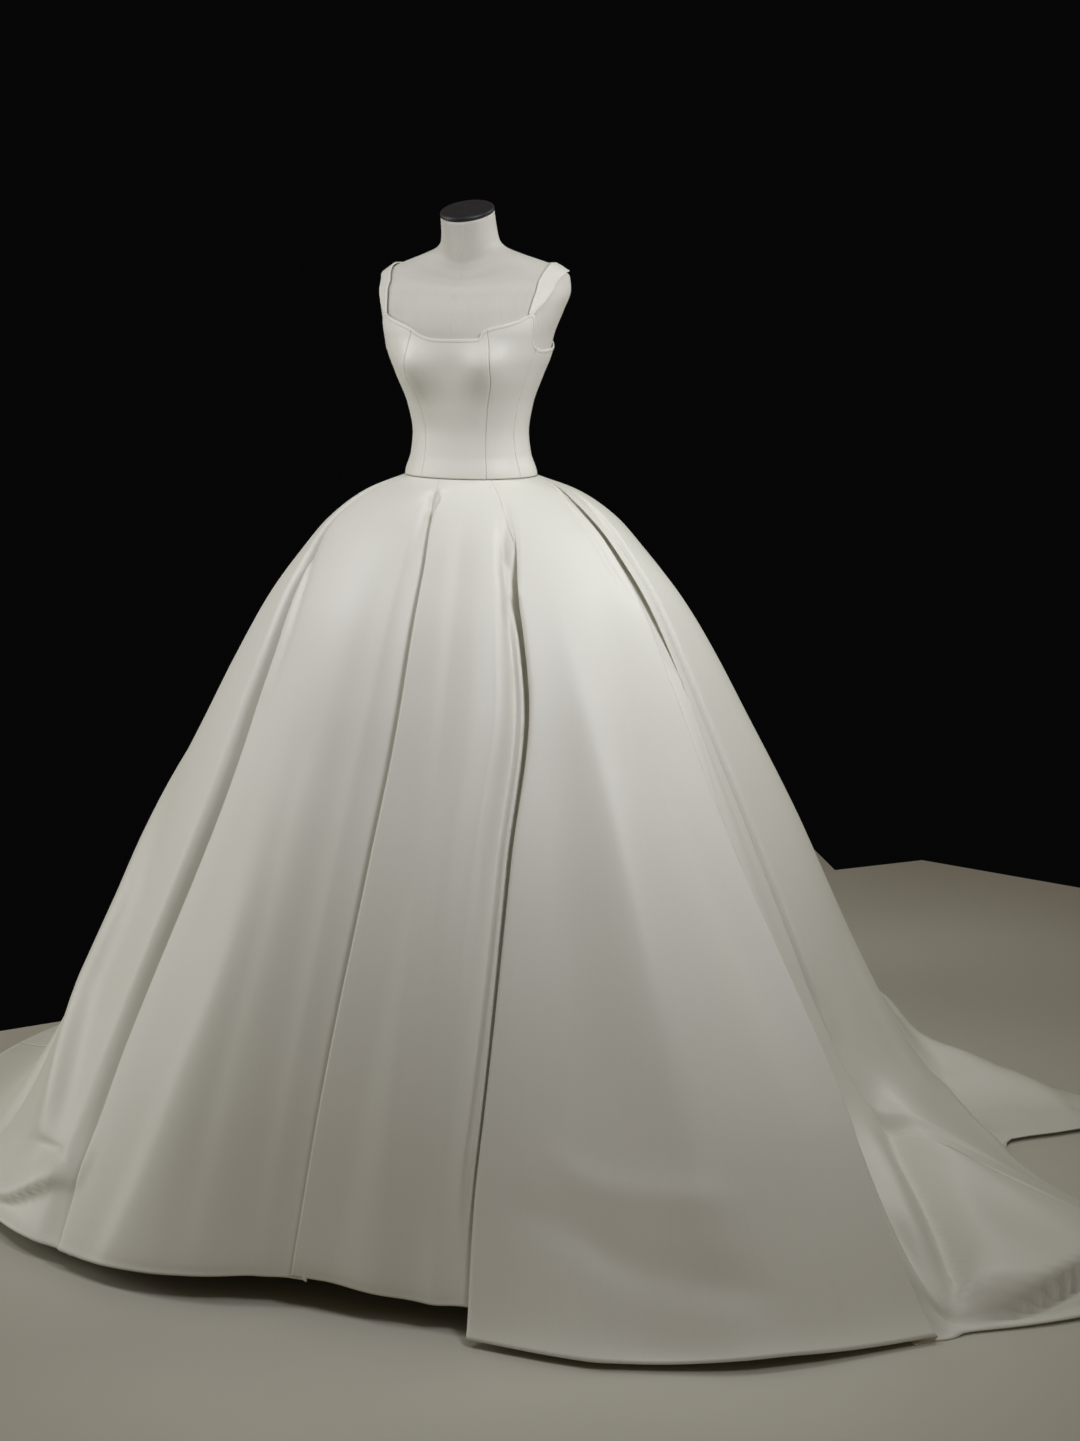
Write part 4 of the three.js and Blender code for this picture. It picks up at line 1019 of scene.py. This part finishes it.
def seamRelief(points):
    # the cloth turns in along its seams and stands up a little along its bound top edge
    across = arcLength(points, 1)
    total = across[:, -1:]
    down = arcLength(points, 0)
    left = bump(across / bodiceLook["seamWidth"])
    right = bump((total - across) / bodiceLook["seamWidth"])
    waist = bump((down[-1:, :] - down) / bodiceLook["waistWidth"])
    binding = 1 - ease((down - bodiceLook["bindingWidth"]) / bodiceLook["bindingEdge"])
    edge = bump(down / bodiceLook["topWidth"])
    return (-bodiceLook["seamDip"] * (left + right) - bodiceLook["waistDip"] * waist
            + bodiceLook["bindingRise"] * binding - bodiceLook["topDip"] * edge)


def bodicePanel(name, edges, hand, columns, rows):
    # one panel as a closed shell: the form moved out by the ease, then by the wall and its relief
    across = np.linspace(0, 1, columns)
    if edges[0] == "front":
        across = np.concatenate([-across[:0:-1], across])
        side = np.where(across < 0, -1.0, 1.0)
    else:
        side = np.full(len(across), float(hand))
    edgeShare = bodiceLook["topShare"]
    up = 1 - np.concatenate([np.linspace(0, edgeShare, bodiceLook["topRows"], endpoint=False),
                             np.linspace(edgeShare, 1, rows)])
    acrossGrid, upGrid = np.meshgrid(np.abs(across), up)
    zero = np.zeros(acrossGrid.shape)

    def at(offset):
        # the panel's grid at an offset from the form
        return bodicePoint(edges, side[None, :], acrossGrid, upGrid, offset)

    plain = at(zero + bodiceClearance + bodiceWall)
    relief = seamRelief(plain)
    outer = at(zero + bodiceClearance + bodiceWall + relief)
    inner = at(zero + bodiceClearance)
    if hand < 0 and edges[0] != "front":
        outer, inner, plain = outer[:, ::-1], inner[:, ::-1], plain[:, ::-1]
    piece = shellOf(name + "_satin", outer, inner, clothPlace(plain), satin)
    standFor(piece, name)


strapLook = {"rows": 90, "columns": 26, "binding": 0.8, "bindingWidth": 4, "bindingEdge": 1.2,
             "edgeDip": 0.7, "edgeWidth": 1.0}


def makeStrap(name, hand):
    # a band laid over the shoulder between its inner and its outer edge
    step = np.linspace(0, 1, len(strapRows["inAngle"]))
    table = dict(strapRows, step=step)
    t = np.linspace(0, 1, strapLook["rows"])[:, None]
    w = np.linspace(0, 1, strapLook["columns"])[None, :]
    level = mix(curveOf(table, "step", "outLevel")(t), curveOf(table, "step", "inLevel")(t), w)
    angle = mix(curveOf(table, "step", "outAngle")(t), curveOf(table, "step", "inAngle")(t), w)
    base, normal = formPoint(level, angle), formNormal(level, angle)
    plain = base + normal * (bodiceClearance + bodiceWall)
    across = arcLength(plain, 1)
    fromEdge = np.minimum(across, across[:, -1:] - across)
    bound = 1 - ease((fromEdge - strapLook["bindingWidth"]) / strapLook["bindingEdge"])
    relief = bodiceLook["bindingRise"] * strapLook["binding"] * bound
    relief = relief - strapLook["edgeDip"] * bump(fromEdge / strapLook["edgeWidth"])
    outer = plain + normal * relief[..., None]
    inner = base + normal * bodiceClearance
    sign = np.array([hand, 1.0, 1.0])
    outer, inner, plain = outer * sign, inner * sign, plain * sign
    if hand < 0:
        outer, inner, plain = outer[:, ::-1], inner[:, ::-1], plain[:, ::-1]
    piece = shellOf(name + "_satin", outer, inner, clothPlace(plain), satin)
    standFor(piece, name)


bodicePanel("bodice_centre_front", ("front", "princess"), 1, 44, 110)
for hand, side in ((-1, "right"), (1, "left")):
    bodicePanel("bodice_side_front_" + side, ("princess", "side"), hand, 60, 110)
    bodicePanel("bodice_side_back_" + side, ("side", "back"), hand, 60, 100)
    bodicePanel("bodice_centre_back_" + side, ("back", "centreBack"), hand, 40, 90)
    makeStrap("shoulder_strap_" + side, hand)
print("bodice made")

# the floor

floorEdge = [
    (-6.0, -7.0), (6.0, -7.0), (6.0, 0.545), (0.495, 1.974), (0.296, 1.804), (0.133, 2.10),
    (-0.093, 2.546), (-0.538, 3.658), (-2.03, 3.115), (-1.695, 2.225), (-1.365, 1.297),
    (-1.027, 0.388), (-0.996, 0.17), (-1.095, 0.066), (-6.0, -5.1),
]


def makeFloor(corners):
    # a pale sheet of floor, its top just under the part, its far edges those of the lit area
    mesh = bpy.data.meshes.new("floor")
    low = -0.0005
    mesh.from_pydata([(x, y, low) for x, y in corners], [], [tuple(range(len(corners)))])
    mesh.materials.append(stageFloor)
    floor = bpy.data.objects.new("floor", mesh)
    bpy.context.scene.collection.objects.link(floor)


makeFloor(floorEdge)
print("floor made")
